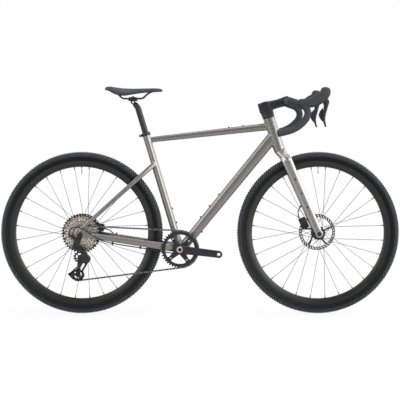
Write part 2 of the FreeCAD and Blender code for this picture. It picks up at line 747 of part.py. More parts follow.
def point_on(stretches, distance):
    """The point at a distance along the chain's centre line."""
    total = sum(length for length, _ in stretches)
    distance %= total
    for length, shape in stretches:
        if distance <= length:
            if shape[0] == "line":
                return polar(shape[1], distance, shape[2])
            _, centre, radius, from_angle, sense = shape
            return polar(centre, radius, from_angle + sense * distance / radius)
        distance -= length
    return point_on(stretches, 0)


def chain_pins(swing):
    """Pins one pitch apart along the path, and how far the last link misses the first pin."""
    stretches = chain_path(swing)
    total = sum(length for length, _ in stretches)
    pins = [point_on(stretches, 0)]
    along = 0.0
    for _ in range(CHAIN_LINKS):
        low, high = along + 0.9 * CHAIN_PITCH, along + 1.2 * CHAIN_PITCH
        for _ in range(40):
            middle = (low + high) / 2
            if (point_on(stretches, middle) - pins[-1]).Length < CHAIN_PITCH:
                low = middle
            else:
                high = middle
        along = low
        pins.append(point_on(stretches, along))
    return pins[:-1], along - total


def closing_swing():
    """The cage swing at which the chain of whole links closes."""
    low, high = math.radians(-75), math.radians(60)
    for _ in range(40):
        middle = (low + high) / 2
        if chain_pins(middle)[1] < 0:
            high = middle
        else:
            low = middle
    return low


def pin_angle(pins, centre, radius):
    """The angle of a pin that lies on a wheel's pitch circle."""
    on = [p for p in pins if abs(V(p.x - centre.x, 0, p.z - centre.z).Length - radius) < 0.01]
    pin = on[len(on) // 2]
    return math.atan2(pin.z - centre.z, pin.x - centre.x)


TOOTH_ROOT = 4.4
TOOTH_TIP = 3.4


def toothed(centre, teeth, gap_angle, y, thickness):
    """A sprocket disc whose tooth gaps line up with a pin at gap_angle."""
    r = pitch_radius(teeth)
    step = math.tau / teeth
    points = []
    for i in range(teeth):
        gap = gap_angle + i * step
        points += [polar(centre, r - TOOTH_ROOT, gap), polar(centre, r + TOOTH_TIP, gap + step / 2)]
    return plate(points, y - thickness / 2, y + thickness / 2)


INNER_PLATE_Y = 1.1
PLATE_T = 0.7
OUTER_PLATE_Y = INNER_PLATE_Y + PLATE_T + 0.1
PLATE_R = 4.1
ROLLER_R = 2.6
SLANT_START = 18.0
SLANT_END = 45.0


def chain_y(x):
    """Side position of the chain, which slants from the chainring to the chosen sprocket."""
    share = (BB.x - SLANT_START - x) / (BB.x - REAR_AXLE.x - SLANT_START - SLANT_END)
    return RING_Y + (CHAIN_Y - RING_Y) * min(max(share, 0), 1)


def make_chain(pins):
    """Inner and outer links in turn, each a pair of plates, with a roller on every pin."""
    solids = []
    for i, (a, b) in enumerate(zip(pins, pins[1:] + pins[:1])):
        along = (b - a).normalize()
        across = V(-along.z, 0, along.x) * PLATE_R
        outline = [a + across, b + across, b - across, a - across]
        near = OUTER_PLATE_Y if i % 2 else INNER_PLATE_Y
        y = chain_y((a.x + b.x) / 2)
        solids.append(plate(outline, y + near, y + near + PLATE_T))
        solids.append(plate(outline, y - near - PLATE_T, y - near))
        here = chain_y(a.x)
        roller = regular(a, ROLLER_R, 3, math.atan2(along.z, along.x))
        solids.append(plate(roller, here - INNER_PLATE_Y, here + INNER_PLATE_Y))
    return Part.makeCompound(solids)


def make_drivetrain():
    swing = closing_swing()
    pins, _ = chain_pins(swing)
    SHAPES["chain"] = make_chain(pins)
    make_cassette(pin_angle(pins, REAR_AXLE, pitch_radius(CHAIN_COG_TEETH)))
    make_crankset(pin_angle(pins, BB, pitch_radius(RING_TEETH)))
    make_derailleur(pins, swing)


FREEHUB_R = 17.4
FREEHUB_SIDES = 8


def make_cassette(gap_angle):
    """Sprockets on the freehub body, and the lockring that holds them."""
    hole = rod_y(REAR_AXLE, FREEHUB_R, -REAR_HUB_WIDTH, 0, FREEHUB_SIDES)
    SHAPES["sprockets"] = Part.makeCompound([
        toothed(REAR_AXLE, teeth, gap_angle, COG_Y[teeth], COG_T).cut(hole)
        for teeth in COGS
    ])
    outer = SMALL_COG_Y - COG_T / 2
    inner = COG_Y[COGS[-1]] + COG_T / 2 + 1
    body = rod_y(REAR_AXLE, FREEHUB_R, outer, inner, FREEHUB_SIDES)
    lockring = rod_y(REAR_AXLE, FREEHUB_R + 1.5, outer - 1.6, outer)
    SHAPES["freehub"] = Part.makeCompound([
        body.cut(bore_y(REAR_AXLE, AXLE_D / 2 + RUNNING_FIT, outer, inner)),
        lockring.cut(bore_y(REAR_AXLE, 11, outer - 1.6, outer)),
    ])


RING_T = 1.7
RING_BOLT_R = 55.0
RING_BORE_R = 63.0
ARM_T = 13.0


def make_crankset(gap_angle):
    """Spindle, chainring on its four-armed spider, and two opposite crank arms."""
    turn = math.radians(CRANK_ANGLE)
    right_eye = polar(BB, CRANK_LENGTH, turn)
    left_eye = polar(BB, CRANK_LENGTH, turn + math.pi)
    face = CRANK_Q / 2
    spindle = rod_y(BB, SPINDLE_D / 2, 3 - face, face - 3)
    SHAPES["crank_spindle"] = spindle.cut(bore_y(BB, SPINDLE_D / 2 - 3, 3 - face, face - 3))

    bolts = [turn + math.radians(a) for a in (50, 130, 230, 310)]
    y0, y1 = RING_Y - RING_T / 2, RING_Y + RING_T / 2
    disc = toothed(BB, RING_TEETH, gap_angle, RING_Y, RING_T)
    disc = disc.cut(plate(regular(BB, RING_BORE_R, 24), y0, y1))
    for angle in bolts:
        ear = arm(polar(BB, RING_BOLT_R, angle), 8, polar(BB, RING_BORE_R + 1, angle), 10, y0, y1)
        disc = disc.fuse(ear)
    SHAPES["chainring"] = disc.removeSplitter()

    spider_y = y0 - 5
    boss = rod_y(BB, 20, 3 - face, -BB_SHELL_WIDTH / 2 - CUP_T - GAP)
    right = boss
    for angle in bolts:
        right = right.fuse(arm(BB, 15, polar(BB, RING_BOLT_R, angle), 8, spider_y, y0, 3))
    right = right.fuse(crank_blade(right_eye, -1))
    SHAPES["right_crank"] = finish_crank(right, right_eye)
    boss = rod_y(BB, 18, BB_SHELL_WIDTH / 2 + CUP_T + GAP, face - 3)
    left = boss.fuse(crank_blade(left_eye, 1))
    SHAPES["left_crank"] = finish_crank(left, left_eye)


def crank_blade(eye, side):
    """The bare arm from the spindle to the pedal eye, on the side given by +1 or -1."""
    face = side * (CRANK_Q / 2 - ARM_T / 2)
    along = V(eye.x - BB.x, 0, eye.z - BB.z)

    def at(share, y):
        return BB + along * share + V(0, y, 0)

    blade = loft([
        oval(at(0.0, face - side * 4), along, 38, 18, CRANK_SIDES),
        oval(at(0.35, face - side * 2), along, 35, 15, CRANK_SIDES),
        oval(at(0.97, face), along, 32, ARM_T, CRANK_SIDES),
    ])
    end = sorted([face - ARM_T / 2, face + ARM_T / 2])
    return blade.fuse(rod_y(eye, 16, *end))


PEDAL_HOLE_R = 7.14


def finish_crank(crank, eye):
    crank = crank.cut(rod_y(BB, SPINDLE_D / 2, -CRANK_Q, CRANK_Q))
    return crank.cut(drilled(eye, PEDAL_HOLE_R, -CRANK_Q, CRANK_Q)).removeSplitter()


CAGE_PLATE_T = 1.6
CAGE_HALF = 3.3
PULLEY_BOLT_R = 3.0
P_KNUCKLE_R = 20.0


def make_derailleur(pins, swing):
    """Rear derailleur: knuckles, links, swinging cage and two jockey pulleys."""
    guide, tension = pulley_centres(swing)
    outer = CHAIN_Y - CAGE_HALF - CAGE_PLATE_T
    shaft = rod_y(CAGE_PIVOT, 5, outer - 14, outer, 10)
    plates = arm(CAGE_PIVOT, 13, tension, 10, outer, outer + CAGE_PLATE_T)
    plates = plates.fuse(arm(CAGE_PIVOT, 13, guide, 9, outer, outer + CAGE_PLATE_T))
    inner = CHAIN_Y + CAGE_HALF
    inside = arm(guide, 10, tension, 12, inner, inner + CAGE_PLATE_T)
    cage = plates.fuse(shaft).fuse(inside)
    for centre in (guide, tension):
        cage = cage.fuse(rod_y(centre, PULLEY_BOLT_R, outer, inner + CAGE_PLATE_T, 8))
    SHAPES["derailleur_cage"] = cage.removeSplitter()
    for name, centre in (("guide_pulley", guide), ("tension_pulley", tension)):
        gap_angle = pin_angle(pins, centre, pitch_radius(PULLEY_TEETH))
        wheel = toothed(centre, PULLEY_TEETH, gap_angle, CHAIN_Y, COG_T)
        wheel = wheel.cut(bore_y(centre, PULLEY_BOLT_R + RUNNING_FIT, -REAR_HUB_WIDTH, 0, 8))
        for i in range(3):
            spot = polar(centre, 13.5, gap_angle + math.tau * i / 3)
            wheel = wheel.cut(rod_y(spot, 4.5, -REAR_HUB_WIDTH, 0, 6))
        SHAPES[name] = wheel
    make_derailleur_body(outer)


def make_derailleur_body(cage_face):
    """Upper knuckle on the hanger, two links and the round lower knuckle."""
    face = -REAR_HUB_WIDTH / 2 - 8
    near = cage_face - GAP
    top_pivot = B_BOLT + V(-10, 0, -24)
    low_pivot = CAGE_PIVOT + V(-9, 0, 34)
    upper = arm(B_BOLT, 12, top_pivot, 13, face - 14, face)
    upper = upper.fuse(arm(B_BOLT, 9, B_BOLT + V(-26, 0, 24), 5.5, face - 10, face - 3))
    upper = upper.fuse(rod_y(B_BOLT, 5, face, -REAR_HUB_WIDTH / 2))
    outer_link = arm(top_pivot, 9, low_pivot, 8, face - 20, face - 14)
    inner_link = arm(top_pivot + V(4, 0, -2), 6, low_pivot + V(2, 0, -2), 6, near - 6, near - 2)
    post = rod_y(top_pivot + V(4, 0, -2), 5, face, near - 2, 8)
    lower = rod_y(CAGE_PIVOT, P_KNUCKLE_R, face - 8, near)
    lower = lower.fuse(arm(CAGE_PIVOT, 16, low_pivot, 8, face - 14, near - 6))
    lower = lower.cut(bore_y(CAGE_PIVOT, 5 + RUNNING_FIT, near - 20, near, 10))
    SHAPES["derailleur_body"] = Part.makeCompound([
        upper.removeSplitter(), outer_link, inner_link.fuse(post).removeSplitter(), lower.removeSplitter(),
    ])


# Seat

POST_TOP = seat(SEAT_TUBE_LENGTH + POST_SHOWN)
BARREL = POST_TOP + V(-POST_SETBACK, 0, POST_NECK_RISE)
BARREL_R = 10.0
POST_IN_FRAME = 130.0
SADDLE_RAIL_Z = BARREL.z + RAIL_ABOVE_BARREL
SADDLE_TOP_Z = SADDLE_RAIL_Z + SADDLE_ABOVE_RAIL


def make_seat():
    """Seatpost with its leaning neck and the barrel that the saddle clamp rocks on."""
    post = rod(seat(SEAT_TUBE_LENGTH - POST_IN_FRAME), POST_TOP, SEATPOST_D / 2)
    lean = BARREL - POST_TOP
    neck = loft([
        oval(POST_TOP - SEAT_UP * 2, SEAT_UP, SEATPOST_D, SEATPOST_D),
        oval(POST_TOP + lean * 0.45, lean, 25, 24),
        oval(BARREL - V(lean).normalize() * 6, lean, 15, 16),
    ])
    barrel = rod_y(BARREL, BARREL_R, -17, 17)
    eye = bore_y(BARREL, 4.5, -40, 40, 8)
    SHAPES["seatpost"] = post.fuse(neck).fuse(barrel).cut(eye).removeSplitter()
    make_saddle_clamp()
    make_saddle()


CRADLE_LENGTH = 38.0
CRADLE_FOOT = 3.0
YOKE_INSET = 2.5
YOKE_T = 7.0


def make_saddle_clamp():
    """Lower cradle and upper yoke, which grip the rails and rock on the barrel."""
    half_y = RAIL_SPACING / 2 + 7
    half_x = CRADLE_LENGTH / 2
    rails = rail_holes()
    corner = BARREL + V(-half_x, -half_y, CRADLE_FOOT)
    lower = Part.makeBox(CRADLE_LENGTH, 2 * half_y, RAIL_ABOVE_BARREL - CRADLE_FOOT, corner)
    lower = lower.cut(bore_y(BARREL, BARREL_R + RUNNING_FIT, -2 * half_y, 2 * half_y)).cut(rails)
    corner = BARREL + V(YOKE_INSET - half_x, YOKE_INSET - half_y, RAIL_ABOVE_BARREL + 2 * GAP)
    upper = Part.makeBox(CRADLE_LENGTH - 2 * YOKE_INSET, 2 * (half_y - YOKE_INSET), YOKE_T, corner)
    upper = upper.cut(rails)
    foot = V(BARREL.x, 0, SADDLE_RAIL_Z - 2)
    bolt = rod(foot, foot + V(0, 0, 16), 3, 8)
    SHAPES["saddle_clamp"] = Part.makeCompound([lower.cut(bolt), upper.cut(bolt), bolt])


def rail_holes():
    start = V(BARREL.x - 60, RAIL_SPACING / 2, SADDLE_RAIL_Z)
    hole = bore(start, start + V(120, 0, 0), RAIL_D / 2 + RUNNING_FIT, RAIL_SIDES)
    return hole.fuse(mirrored(hole))


SADDLE_REAR_X = BARREL.x - 0.484 * SADDLE_LENGTH
# Share of the length from the rear, share of the width, rise of the top, drop of the skirt
SADDLE_STATIONS = (
    (0.000, 0.50, 4.0, 14.0),
    (0.060, 0.86, 8.0, 22.0),
    (0.170, 1.00, 5.0, 34.0),
    (0.300, 0.86, 0.0, 34.0),
    (0.450, 0.56, -1.0, 28.0),
    (0.650, 0.34, 0.0, 21.0),
    (0.880, 0.27, 0.0, 18.0),
    (1.000, 0.12, -8.0, 7.0),
)


def saddle_section(station):
    """A closed outline across the saddle, crowned on top and drawn in below."""
    share, width, rise, drop = station
    x = SADDLE_REAR_X + SADDLE_LENGTH * share
    half = SADDLE_WIDTH * width / 2
    top = SADDLE_TOP_Z + rise
    foot = top - drop
    return [
        V(x, -half, (top + 2 * foot) / 3), V(x, -0.8 * half, top - 0.22 * drop), V(x, 0, top),
        V(x, 0.8 * half, top - 0.22 * drop), V(x, half, (top + 2 * foot) / 3),
        V(x, 0.82 * half, foot), V(x, 0, foot + 0.35 * drop), V(x, -0.82 * half, foot),
    ]


def make_saddle():
    """Padded cover, the hard base inside it and the two rails."""
    cover = loft([saddle_section(station) for station in SADDLE_STATIONS])
    base = make_saddle_base()
    rails = make_rails()
    SHAPES["saddle_base"] = base.cut(rails)
    SHAPES["saddle_cover"] = cover.cut(base).cut(rails)
    SHAPES["saddle_rails"] = rails


def make_saddle_base():
    """The hard shell under the padding, a thin plate that follows the cover's plan."""
    outlines = []
    for share, width, rise, drop in SADDLE_STATIONS[1:-1]:
        x = SADDLE_REAR_X + SADDLE_LENGTH * share
        half = SADDLE_WIDTH * width / 2 - 9
        z = SADDLE_TOP_Z + rise - 0.62 * drop
        outlines.append([V(x, -half, z), V(x, half, z), V(x, half - 2, z - 5), V(x, -half + 2, z - 5)])
    return loft(outlines)


def make_rails():
    front_x = SADDLE_REAR_X + 0.80 * SADDLE_LENGTH
    rear_x = SADDLE_REAR_X + 0.20 * SADDLE_LENGTH
    half = RAIL_SPACING / 2
    path = route([
        V(rear_x, half + 8, SADDLE_TOP_Z - 19),
        V(BARREL.x - 44, half, SADDLE_RAIL_Z),
        V(BARREL.x + 40, half, SADDLE_RAIL_Z),
        V(front_x, half - 10, SADDLE_TOP_Z - 15),
    ], (16.0, 16.0))
    rail = swept(path, RAIL_D / 2, RAIL_SIDES)
    return both_sides(rail)


# Brakes

PAD_T = 2.2
PAD_GAP = 0.35
SLOT_GAP = 0.3
CALIPER_DEPTH = 34.0
CALIPER_LENGTH = 52.0
PAD_R = 71.0


def make_caliper(name, axle, along, away, reach, rotor_y):
    """A caliper over the rotor's edge, beside a leg or stay that runs along a direction."""
    run = math.sqrt(PAD_R**2 - reach**2)
    centre = axle + along * run + away * reach

    def block(length, depth, y0, y1, shift=0.0):
        corners = ((1, 1), (-1, 1), (-1, -1), (1, -1))
        points = [
            centre + along * (a * length / 2) + away * (b * depth / 2 + shift) for a, b in corners
        ]
        return plate(points, y0, y1)

    rotor_half = ROTOR_T / 2
    slot_half = rotor_half + PAD_GAP + PAD_T + SLOT_GAP
    body = block(CALIPER_LENGTH, CALIPER_DEPTH, rotor_y - slot_half - 7, rotor_y + slot_half + 7)
    slot = block(CALIPER_LENGTH - 14, CALIPER_DEPTH + 20, rotor_y - slot_half, rotor_y + slot_half, 12)
    swept_rotor = rod_y(axle, ROTOR_D / 2 + 2, rotor_y - rotor_half - 1, rotor_y + rotor_half + 1, 30)
    SHAPES[name + "_caliper"] = body.cut(slot).cut(swept_rotor)
    for side, label in ((1, "outer"), (-1, "inner")):
        face = rotor_y + side * (rotor_half + PAD_GAP)
        y0, y1 = sorted([face, face + side * PAD_T])
        SHAPES[name + "_" + label + "_pad"] = block(CALIPER_LENGTH - 15, 20, y0, y1, 2)


def make_brakes():
    leg_up = (LEG_TOP - FRONT_AXLE).normalize()
    leg_back = V(-leg_up.z, 0, leg_up.x)
    make_caliper("front", FRONT_AXLE, leg_up, leg_back, 38.0, FRONT_ROTOR_Y)
    stay_on = (BB - REAR_AXLE).normalize()
    stay_up = V(-stay_on.z, 0, stay_on.x)
    make_caliper("rear", REAR_AXLE, stay_on, stay_up, 31.0, REAR_ROTOR_Y)


# Hoses and shift housing

HOSE_R = 2.5
HOSE_SIDES = 6
CLIP_R = 4.0
CLIP_SHARES = (0.40, 0.68)


def make_shift_housing():
    """Housing from the derailleur round in a loop and under the right chainstay, with its clips."""
    stop = B_BOLT + V(-35, -REAR_HUB_WIDTH / 2 - 14.5, 18)
    out_y = -REAR_HUB_WIDTH / 2 - 16
    stay_y = [-60.0, -46.0]
    path = route([
        stop,
        REAR_AXLE + V(-48, out_y, 26),
        REAR_AXLE + V(13, out_y, 22),
        stay_point(0.81, -78) + V(0, 0, -13),
        stay_point(CLIP_SHARES[1], stay_y[0]) + V(0, 0, -20),
        stay_point(CLIP_SHARES[0], stay_y[1]) + V(0, 0, -21),
        BB + V(-8, -28, -BB_SHELL_D / 2 - HOSE_R - GAP),
    ], (26.0, 55.0, 80.0, 120.0, 150.0))
    print("shift housing length", path.Length)
    housing = swept(path, HOSE_R, HOSE_SIDES)
    solids = [housing]
    stay = mirrored(make_chainstay())
    for share, y in zip(reversed(CLIP_SHARES), stay_y):
        foot = stay_point(share, y) + V(0, 0, -25)
        solids.append(rod(foot, foot + V(0, 0, 20), CLIP_R, HOSE_SIDES).cut(stay).cut(housing))
    SHAPES["shift_housing"] = Part.makeCompound(solids)


def make_hoses():
    """Brake hoses, each from its caliper into the stay or leg beside it."""
    entry = stay_point(0.66, 60)
    rear = route([
        REAR_AXLE + V(91, 60, 14),
        REAR_AXLE + V(118, 60, 8),
        entry,
    ], (22.0,))
    print("rear hose length", rear.Length)
    hose = swept(rear, HOSE_R, HOSE_SIDES).cut(make_chainstay())
    SHAPES["rear_brake_hose"] = hose.cut(SHAPES["rear_caliper"])
    front = route([
        FRONT_AXLE + V(-80, FRONT_ROTOR_Y + 2, 62),
        FRONT_AXLE + V(-86, FRONT_ROTOR_Y + 3, 92),
        FRONT_AXLE + V(-62, FRONT_ROTOR_Y + 6, 128),
    ], (22.0,))
    print("front hose length", front.Length)
    hose = swept(front, HOSE_R, HOSE_SIDES).cut(SHAPES["fork"])
    SHAPES["front_brake_hose"] = hose.cut(SHAPES["front_caliper"])


make_frame()
make_bearings()
make_fork()
make_stem()
make_levers(make_handlebar())
make_wheel("front", FRONT_AXLE, 24.0, -33.0, 45.0, -49.0, FRONT_ROTOR_Y)
make_wheel("rear", REAR_AXLE, 33.0, -20.0, 62.0, -26.5, REAR_ROTOR_Y)
make_axles()
make_drivetrain()
make_seat()
make_brakes()
make_shift_housing()
make_hoses()

os.makedirs("parts", exist_ok=True)
for node, shape in SHAPES.items():
    shape.exportStep("parts/" + node + ".step")
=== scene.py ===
"""Dresses the packed gravel bicycle and sets it on a pale studio floor.

Pieces are shaped in millimetres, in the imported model's own frame (+X forwards,
+Y to the rider's left, +Z up, ground at zero), and brought to metres at the end.
"""

import json
import math

import bmesh
import bpy
from bpy.props import FloatProperty, FloatVectorProperty, IntProperty, PointerProperty
from mathutils import Matrix, Vector


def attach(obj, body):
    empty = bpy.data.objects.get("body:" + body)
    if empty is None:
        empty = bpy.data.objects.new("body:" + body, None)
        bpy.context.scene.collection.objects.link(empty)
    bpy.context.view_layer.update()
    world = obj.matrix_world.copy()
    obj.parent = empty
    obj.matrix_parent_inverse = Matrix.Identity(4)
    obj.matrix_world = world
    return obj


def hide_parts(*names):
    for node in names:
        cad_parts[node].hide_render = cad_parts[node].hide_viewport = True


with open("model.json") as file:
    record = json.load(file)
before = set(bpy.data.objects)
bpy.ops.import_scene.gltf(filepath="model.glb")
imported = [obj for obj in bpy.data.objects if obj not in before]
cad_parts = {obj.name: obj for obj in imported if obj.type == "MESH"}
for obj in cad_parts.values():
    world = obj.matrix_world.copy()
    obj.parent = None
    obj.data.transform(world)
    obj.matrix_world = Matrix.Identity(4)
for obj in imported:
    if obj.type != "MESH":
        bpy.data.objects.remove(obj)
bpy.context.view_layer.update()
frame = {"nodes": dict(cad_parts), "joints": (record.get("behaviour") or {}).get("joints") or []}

bl_info = {
    "name": "Gravel Bicycle",
    "version": (1, 0, 0),
    "blender": (4, 5, 0),
    "location": "View3D > Sidebar > Bicycle",
    "description": "Builds the visible pieces of a gravel bicycle on its packed solids",
    "category": "Object",
}

MM = 0.001
X_AXIS = Vector((1, 0, 0))
Y_AXIS = Vector((0, 1, 0))
Z_AXIS = Vector((0, 0, 1))
JOINTS = {joint["name"]: joint for joint in frame["joints"]}


def pivot(name):
    """A joint's own point, in millimetres."""
    return Vector(JOINTS[name]["pos_m"]) / MM


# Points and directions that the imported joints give
FRONT_AXLE = pivot("front_wheel_spin")
REAR_AXLE = pivot("rear_wheel_spin")
CRANK_CENTRE = pivot("crank_spin")
STEER_FOOT = pivot("steering")
STEER_UP = Vector(JOINTS["steering"]["axis"]).normalized()
STEER_FORWARD = Vector((STEER_UP.z, 0, -STEER_UP.x))
SEAT_UP = Vector(JOINTS["post_height"]["axis"]).normalized()
BARREL = pivot("saddle_tilt")
CAGE_PIVOT = pivot("cage_swing")
GUIDE_PULLEY = pivot("guide_pulley_spin")
TENSION_PULLEY = pivot("tension_pulley_spin")
LEVER_PIVOT = pivot("left_brake_pull")
WHEEL_R = FRONT_AXLE.z

# Frame and fork, in millimetres
HEAD_FOOT = 396.0
HEAD_TOP = 546.0
HEAD_TUBE_D = 51.0
SEAT_TUBE_LENGTH = 525.0
SEAT_TUBE_D = 33.0
SHELL_R = 21.2
SHELL_HALF = 34.2
SEATSTAY_HEIGHT = 388.0
STEM_FOOT = 576.0
STEM_TOP = 616.0
STEM_REACH = 93.0
FRONT_DROPOUT_Y = 50.3
REAR_DROPOUT_Y = 71.0
REAR_DROPOUT_T = 8.0
AXLE_R = 6.0

# Wheels
TYRE_ARCH = 29.0
BEAD_R = 309.0
RIM_OUTER_R = 316.5
RIM_INNER_R = 289.5
SPOKES = 28
FLANGE_R = 29.0
SPOKE_R = 1.0
NIPPLE_LENGTH = 13.0
ROTOR_R = 80.0
ROTOR_T = 1.8
ROTOR_ARMS = 5
FRONT_ROTOR_Y = 40.0
REAR_ROTOR_Y = 56.0

# Drivetrain
CHAIN_PITCH = 12.7
RING_TEETH = 40
RING_Y = -49.7
COGS = (11, 13, 15, 17, 19, 21, 24, 28, 32, 37, 42)
SMALL_COG_Y = -66.5
COG_SPACING = 3.74
CHAIN_COG = 17
PULLEY_TEETH = 13
PULLEY_ARMS = 5
CRANK_LENGTH = 170.0
CRANK_ANGLE = math.radians(-7.0)
CRANK_HALF_WIDTH = 75.5
PEDAL_EYE_R = 7.14
SPINDLE_R = 12.0

# Cockpit and hoses
BAR_CENTRE = STEER_FOOT + STEER_UP * (STEM_TOP - 25.0) + STEER_FORWARD * STEM_REACH
BAR_R = 11.9
BAR_CLAMP_R = 15.8
TAPE_R = 14.9
TAPE_START = 62
# Share of the tape's radius where a winding starts, and its rise up to the winding's end
TAPE_LOW = 0.965
TAPE_RISE = 0.05
HOSE_R = 2.5


def point(x, y, z):
    return Vector((x, y, z))


def steer(height, forward=0.0, y=0.0):
    """A point given along and ahead of the steering axis."""
    return STEER_FOOT + STEER_UP * height + STEER_FORWARD * forward + Y_AXIS * y


def quarter_turn(along):
    """A direction in the side view turned from +X towards +Z by a quarter of a circle."""
    return Vector((-along.z, 0, along.x))


def seat(height, behind=0.0, y=0.0):
    """A point given along and behind the seat tube."""
    return CRANK_CENTRE + SEAT_UP * height + quarter_turn(SEAT_UP) * behind + Y_AXIS * y


def stay(share, y, rise=0.0):
    """A point on the line from the cranks to the rear axle, moved out to y."""
    return CRANK_CENTRE.lerp(REAR_AXLE, share) + point(0, y, rise)


def polar(centre, radius, angle, y=0.0):
    """A point about a Y axis, with the angle from +X towards +Z."""
    return point(centre.x + radius * math.cos(angle), y, centre.z + radius * math.sin(angle))


def corners_at(centre, offsets):
    """Corners in the side view, given by their offsets along X and Z."""
    return [centre + point(x, 0, z) for x, z in offsets]


def span(side, near, far):
    """Two distances from the middle plane on one side, in rising order along Y."""
    return sorted((side * near, side * far))


def pitch_radius(teeth):
    return CHAIN_PITCH / (2 * math.sin(math.pi / teeth))


def colour_property(name, description, default):
    return FloatVectorProperty(
        name=name, description=description, subtype="COLOR", default=default, min=0.0, max=1.0)


def plain_property(name, description, default, unit="NONE"):
    return FloatProperty(name=name, description=description, default=default, unit=unit)


class BicycleColours(bpy.types.PropertyGroup):
    """Colours of the finishes."""
    frame: colour_property("Frame", "Metallic paint of the frame", (0.205, 0.202, 0.186))
    fork: colour_property("Fork", "Metallic paint of the fork", (0.29, 0.286, 0.267))
    trim: colour_property("Trim", "Black parts of alloy and plastic", (0.011, 0.0115, 0.013))
    rubber: colour_property("Rubber", "Tyres, tape and hoods", (0.018, 0.019, 0.0215))
    saddle: colour_property("Saddle", "Skin of the saddle", (0.026, 0.029, 0.036))
    sprockets: colour_property("Sprockets", "Plated sprockets and the spindle", (0.64, 0.575, 0.48))
    steel: colour_property("Steel", "Rotors, bearings and bright bolts", (0.48, 0.48, 0.47))
    brass: colour_property("Brass", "Valves", (0.45, 0.36, 0.22))


class BicycleDetail(bpy.types.PropertyGroup):
    """Sizes of the fine detail."""
    knobs: IntProperty(
        name="Tread knobs", description="Knobs in one row round a tyre", default=180, min=36, max=300)
    knob_height: FloatProperty(
        name="Knob height", description="Height of the middle knobs, in millimetres",
        default=3.2, min=0.5, max=4.0)
    rotor_slots: IntProperty(
        name="Rotor slots", description="Slots round a brake rotor", default=36, min=12, max=48)
    tape_pitch: FloatProperty(
        name="Tape pitch", description="Distance between windings of the bar tape, in millimetres",
        default=19.0, min=8.0, max=40.0)
    frame_voxel: FloatProperty(
        name="Frame mesh", description="Size of the faces of the welded frame, in millimetres",
        default=2.2, min=1.5, max=6.0)


class BicycleStage(bpy.types.PropertyGroup):
    """The studio."""
    camera_distance: plain_property("Camera distance", "From the bicycle's middle plane", 5.35, "LENGTH")
    camera_height: plain_property("Camera height", "Above the floor", 0.80, "LENGTH")
    aim_height: plain_property("Aim height", "Height that the camera looks at", 0.50, "LENGTH")
    aim_forward: plain_property(
        "Aim forward", "How far ahead of the middle the camera looks", 0.0, "LENGTH")
    lens: plain_property("Lens", "Focal length in millimetres on a 36 mm sensor", 109.9)
    left_power: plain_property("Left lamp", "Power of the lamp left of the camera", 70.0, "POWER")
    right_power: plain_property("Right lamp", "Power of the lamp right of the camera", 110.0, "POWER")
    top_power: plain_property("Top lamp", "Power of the lamp above the bicycle", 55.0, "POWER")
    ambient: plain_property("Ambient", "Strength of the room's own light", 0.50)


# Shared shader groups

def feed(tree, value, socket):
    """Links a socket to another one, or gives it a plain value."""
    if isinstance(value, bpy.types.NodeSocket):
        tree.links.new(value, socket)
    else:
        socket.default_value = value


def new_group(name, inputs, outputs):
    """An empty shader group with a vector and other inputs, and the sockets at its two ends."""
    kinds = {"Vector": "NodeSocketVector", "Colour": "NodeSocketColor"}
    group = bpy.data.node_groups.new(name, "ShaderNodeTree")
    group.interface.new_socket(name="Vector", in_out="INPUT", socket_type=kinds["Vector"])
    for label, value in inputs:
        kind = kinds.get(label, "NodeSocketFloat")
        socket = group.interface.new_socket(name=label, in_out="INPUT", socket_type=kind)
        socket.default_value = value
    for label in outputs:
        kind = kinds.get(label, "NodeSocketFloat")
        group.interface.new_socket(name=label, in_out="OUTPUT", socket_type=kind)
    return group, group.nodes.new("NodeGroupInput").outputs, group.nodes.new("NodeGroupOutput").inputs


def math_node(tree, operation, first, second, clamp=False):
    """A math node fed by sockets or plain numbers."""
    node = tree.nodes.new("ShaderNodeMath")
    node.operation = operation
    node.use_clamp = clamp
    for socket, value in zip(node.inputs, (first, second)):
        feed(tree, value, socket)
    return node.outputs[0]


def noise(tree, vector, scale, detail):
    node = tree.nodes.new("ShaderNodeTexNoise")
    for label, value in (("Vector", vector), ("Scale", scale), ("Detail", detail)):
        feed(tree, value, node.inputs[label])
    return node.outputs["Fac"]


def stretched(group, start, scale):
    """A group's own vector, scaled along each axis."""
    node = group.nodes.new("ShaderNodeMapping")
    node.inputs["Scale"].default_value = scale
    feed(group, start["Vector"], node.inputs["Vector"])
    return node.outputs["Vector"]


def voronoi(group, start, feature="F1"):
    """Outputs of cells that use a group's own vector and scale."""
    node = group.nodes.new("ShaderNodeTexVoronoi")
    node.feature = feature
    for label in ("Vector", "Scale"):
        feed(group, start[label], node.inputs[label])
    return node.outputs


def tone_drift_group():
    """A colour that drifts lighter and darker in soft patches and fine specks."""
    group, start, end = new_group(
        "Tone Drift",
        (("Colour", (0.5, 0.5, 0.5, 1.0)), ("Patch Scale", 9.0), ("Speck Scale", 600.0), ("Amount", 0.12)),
        ("Colour",))
    patches = noise(group, start["Vector"], start["Patch Scale"], 4.0)
    specks = noise(group, start["Vector"], start["Speck Scale"], 2.0)
    centred = math_node(group, "SUBTRACT", math_node(group, "ADD", patches, specks), 1.0)
    swing = math_node(group, "MULTIPLY", centred, start["Amount"])
    gain = math_node(group, "ADD", math_node(group, "MULTIPLY", swing, 2.0), 1.0)
    scaled = group.nodes.new("ShaderNodeVectorMath")
    scaled.operation = "SCALE"
    feed(group, start["Colour"], scaled.inputs[0])
    feed(group, gain, scaled.inputs["Scale"])
    feed(group, scaled.outputs["Vector"], end["Colour"])
    return group


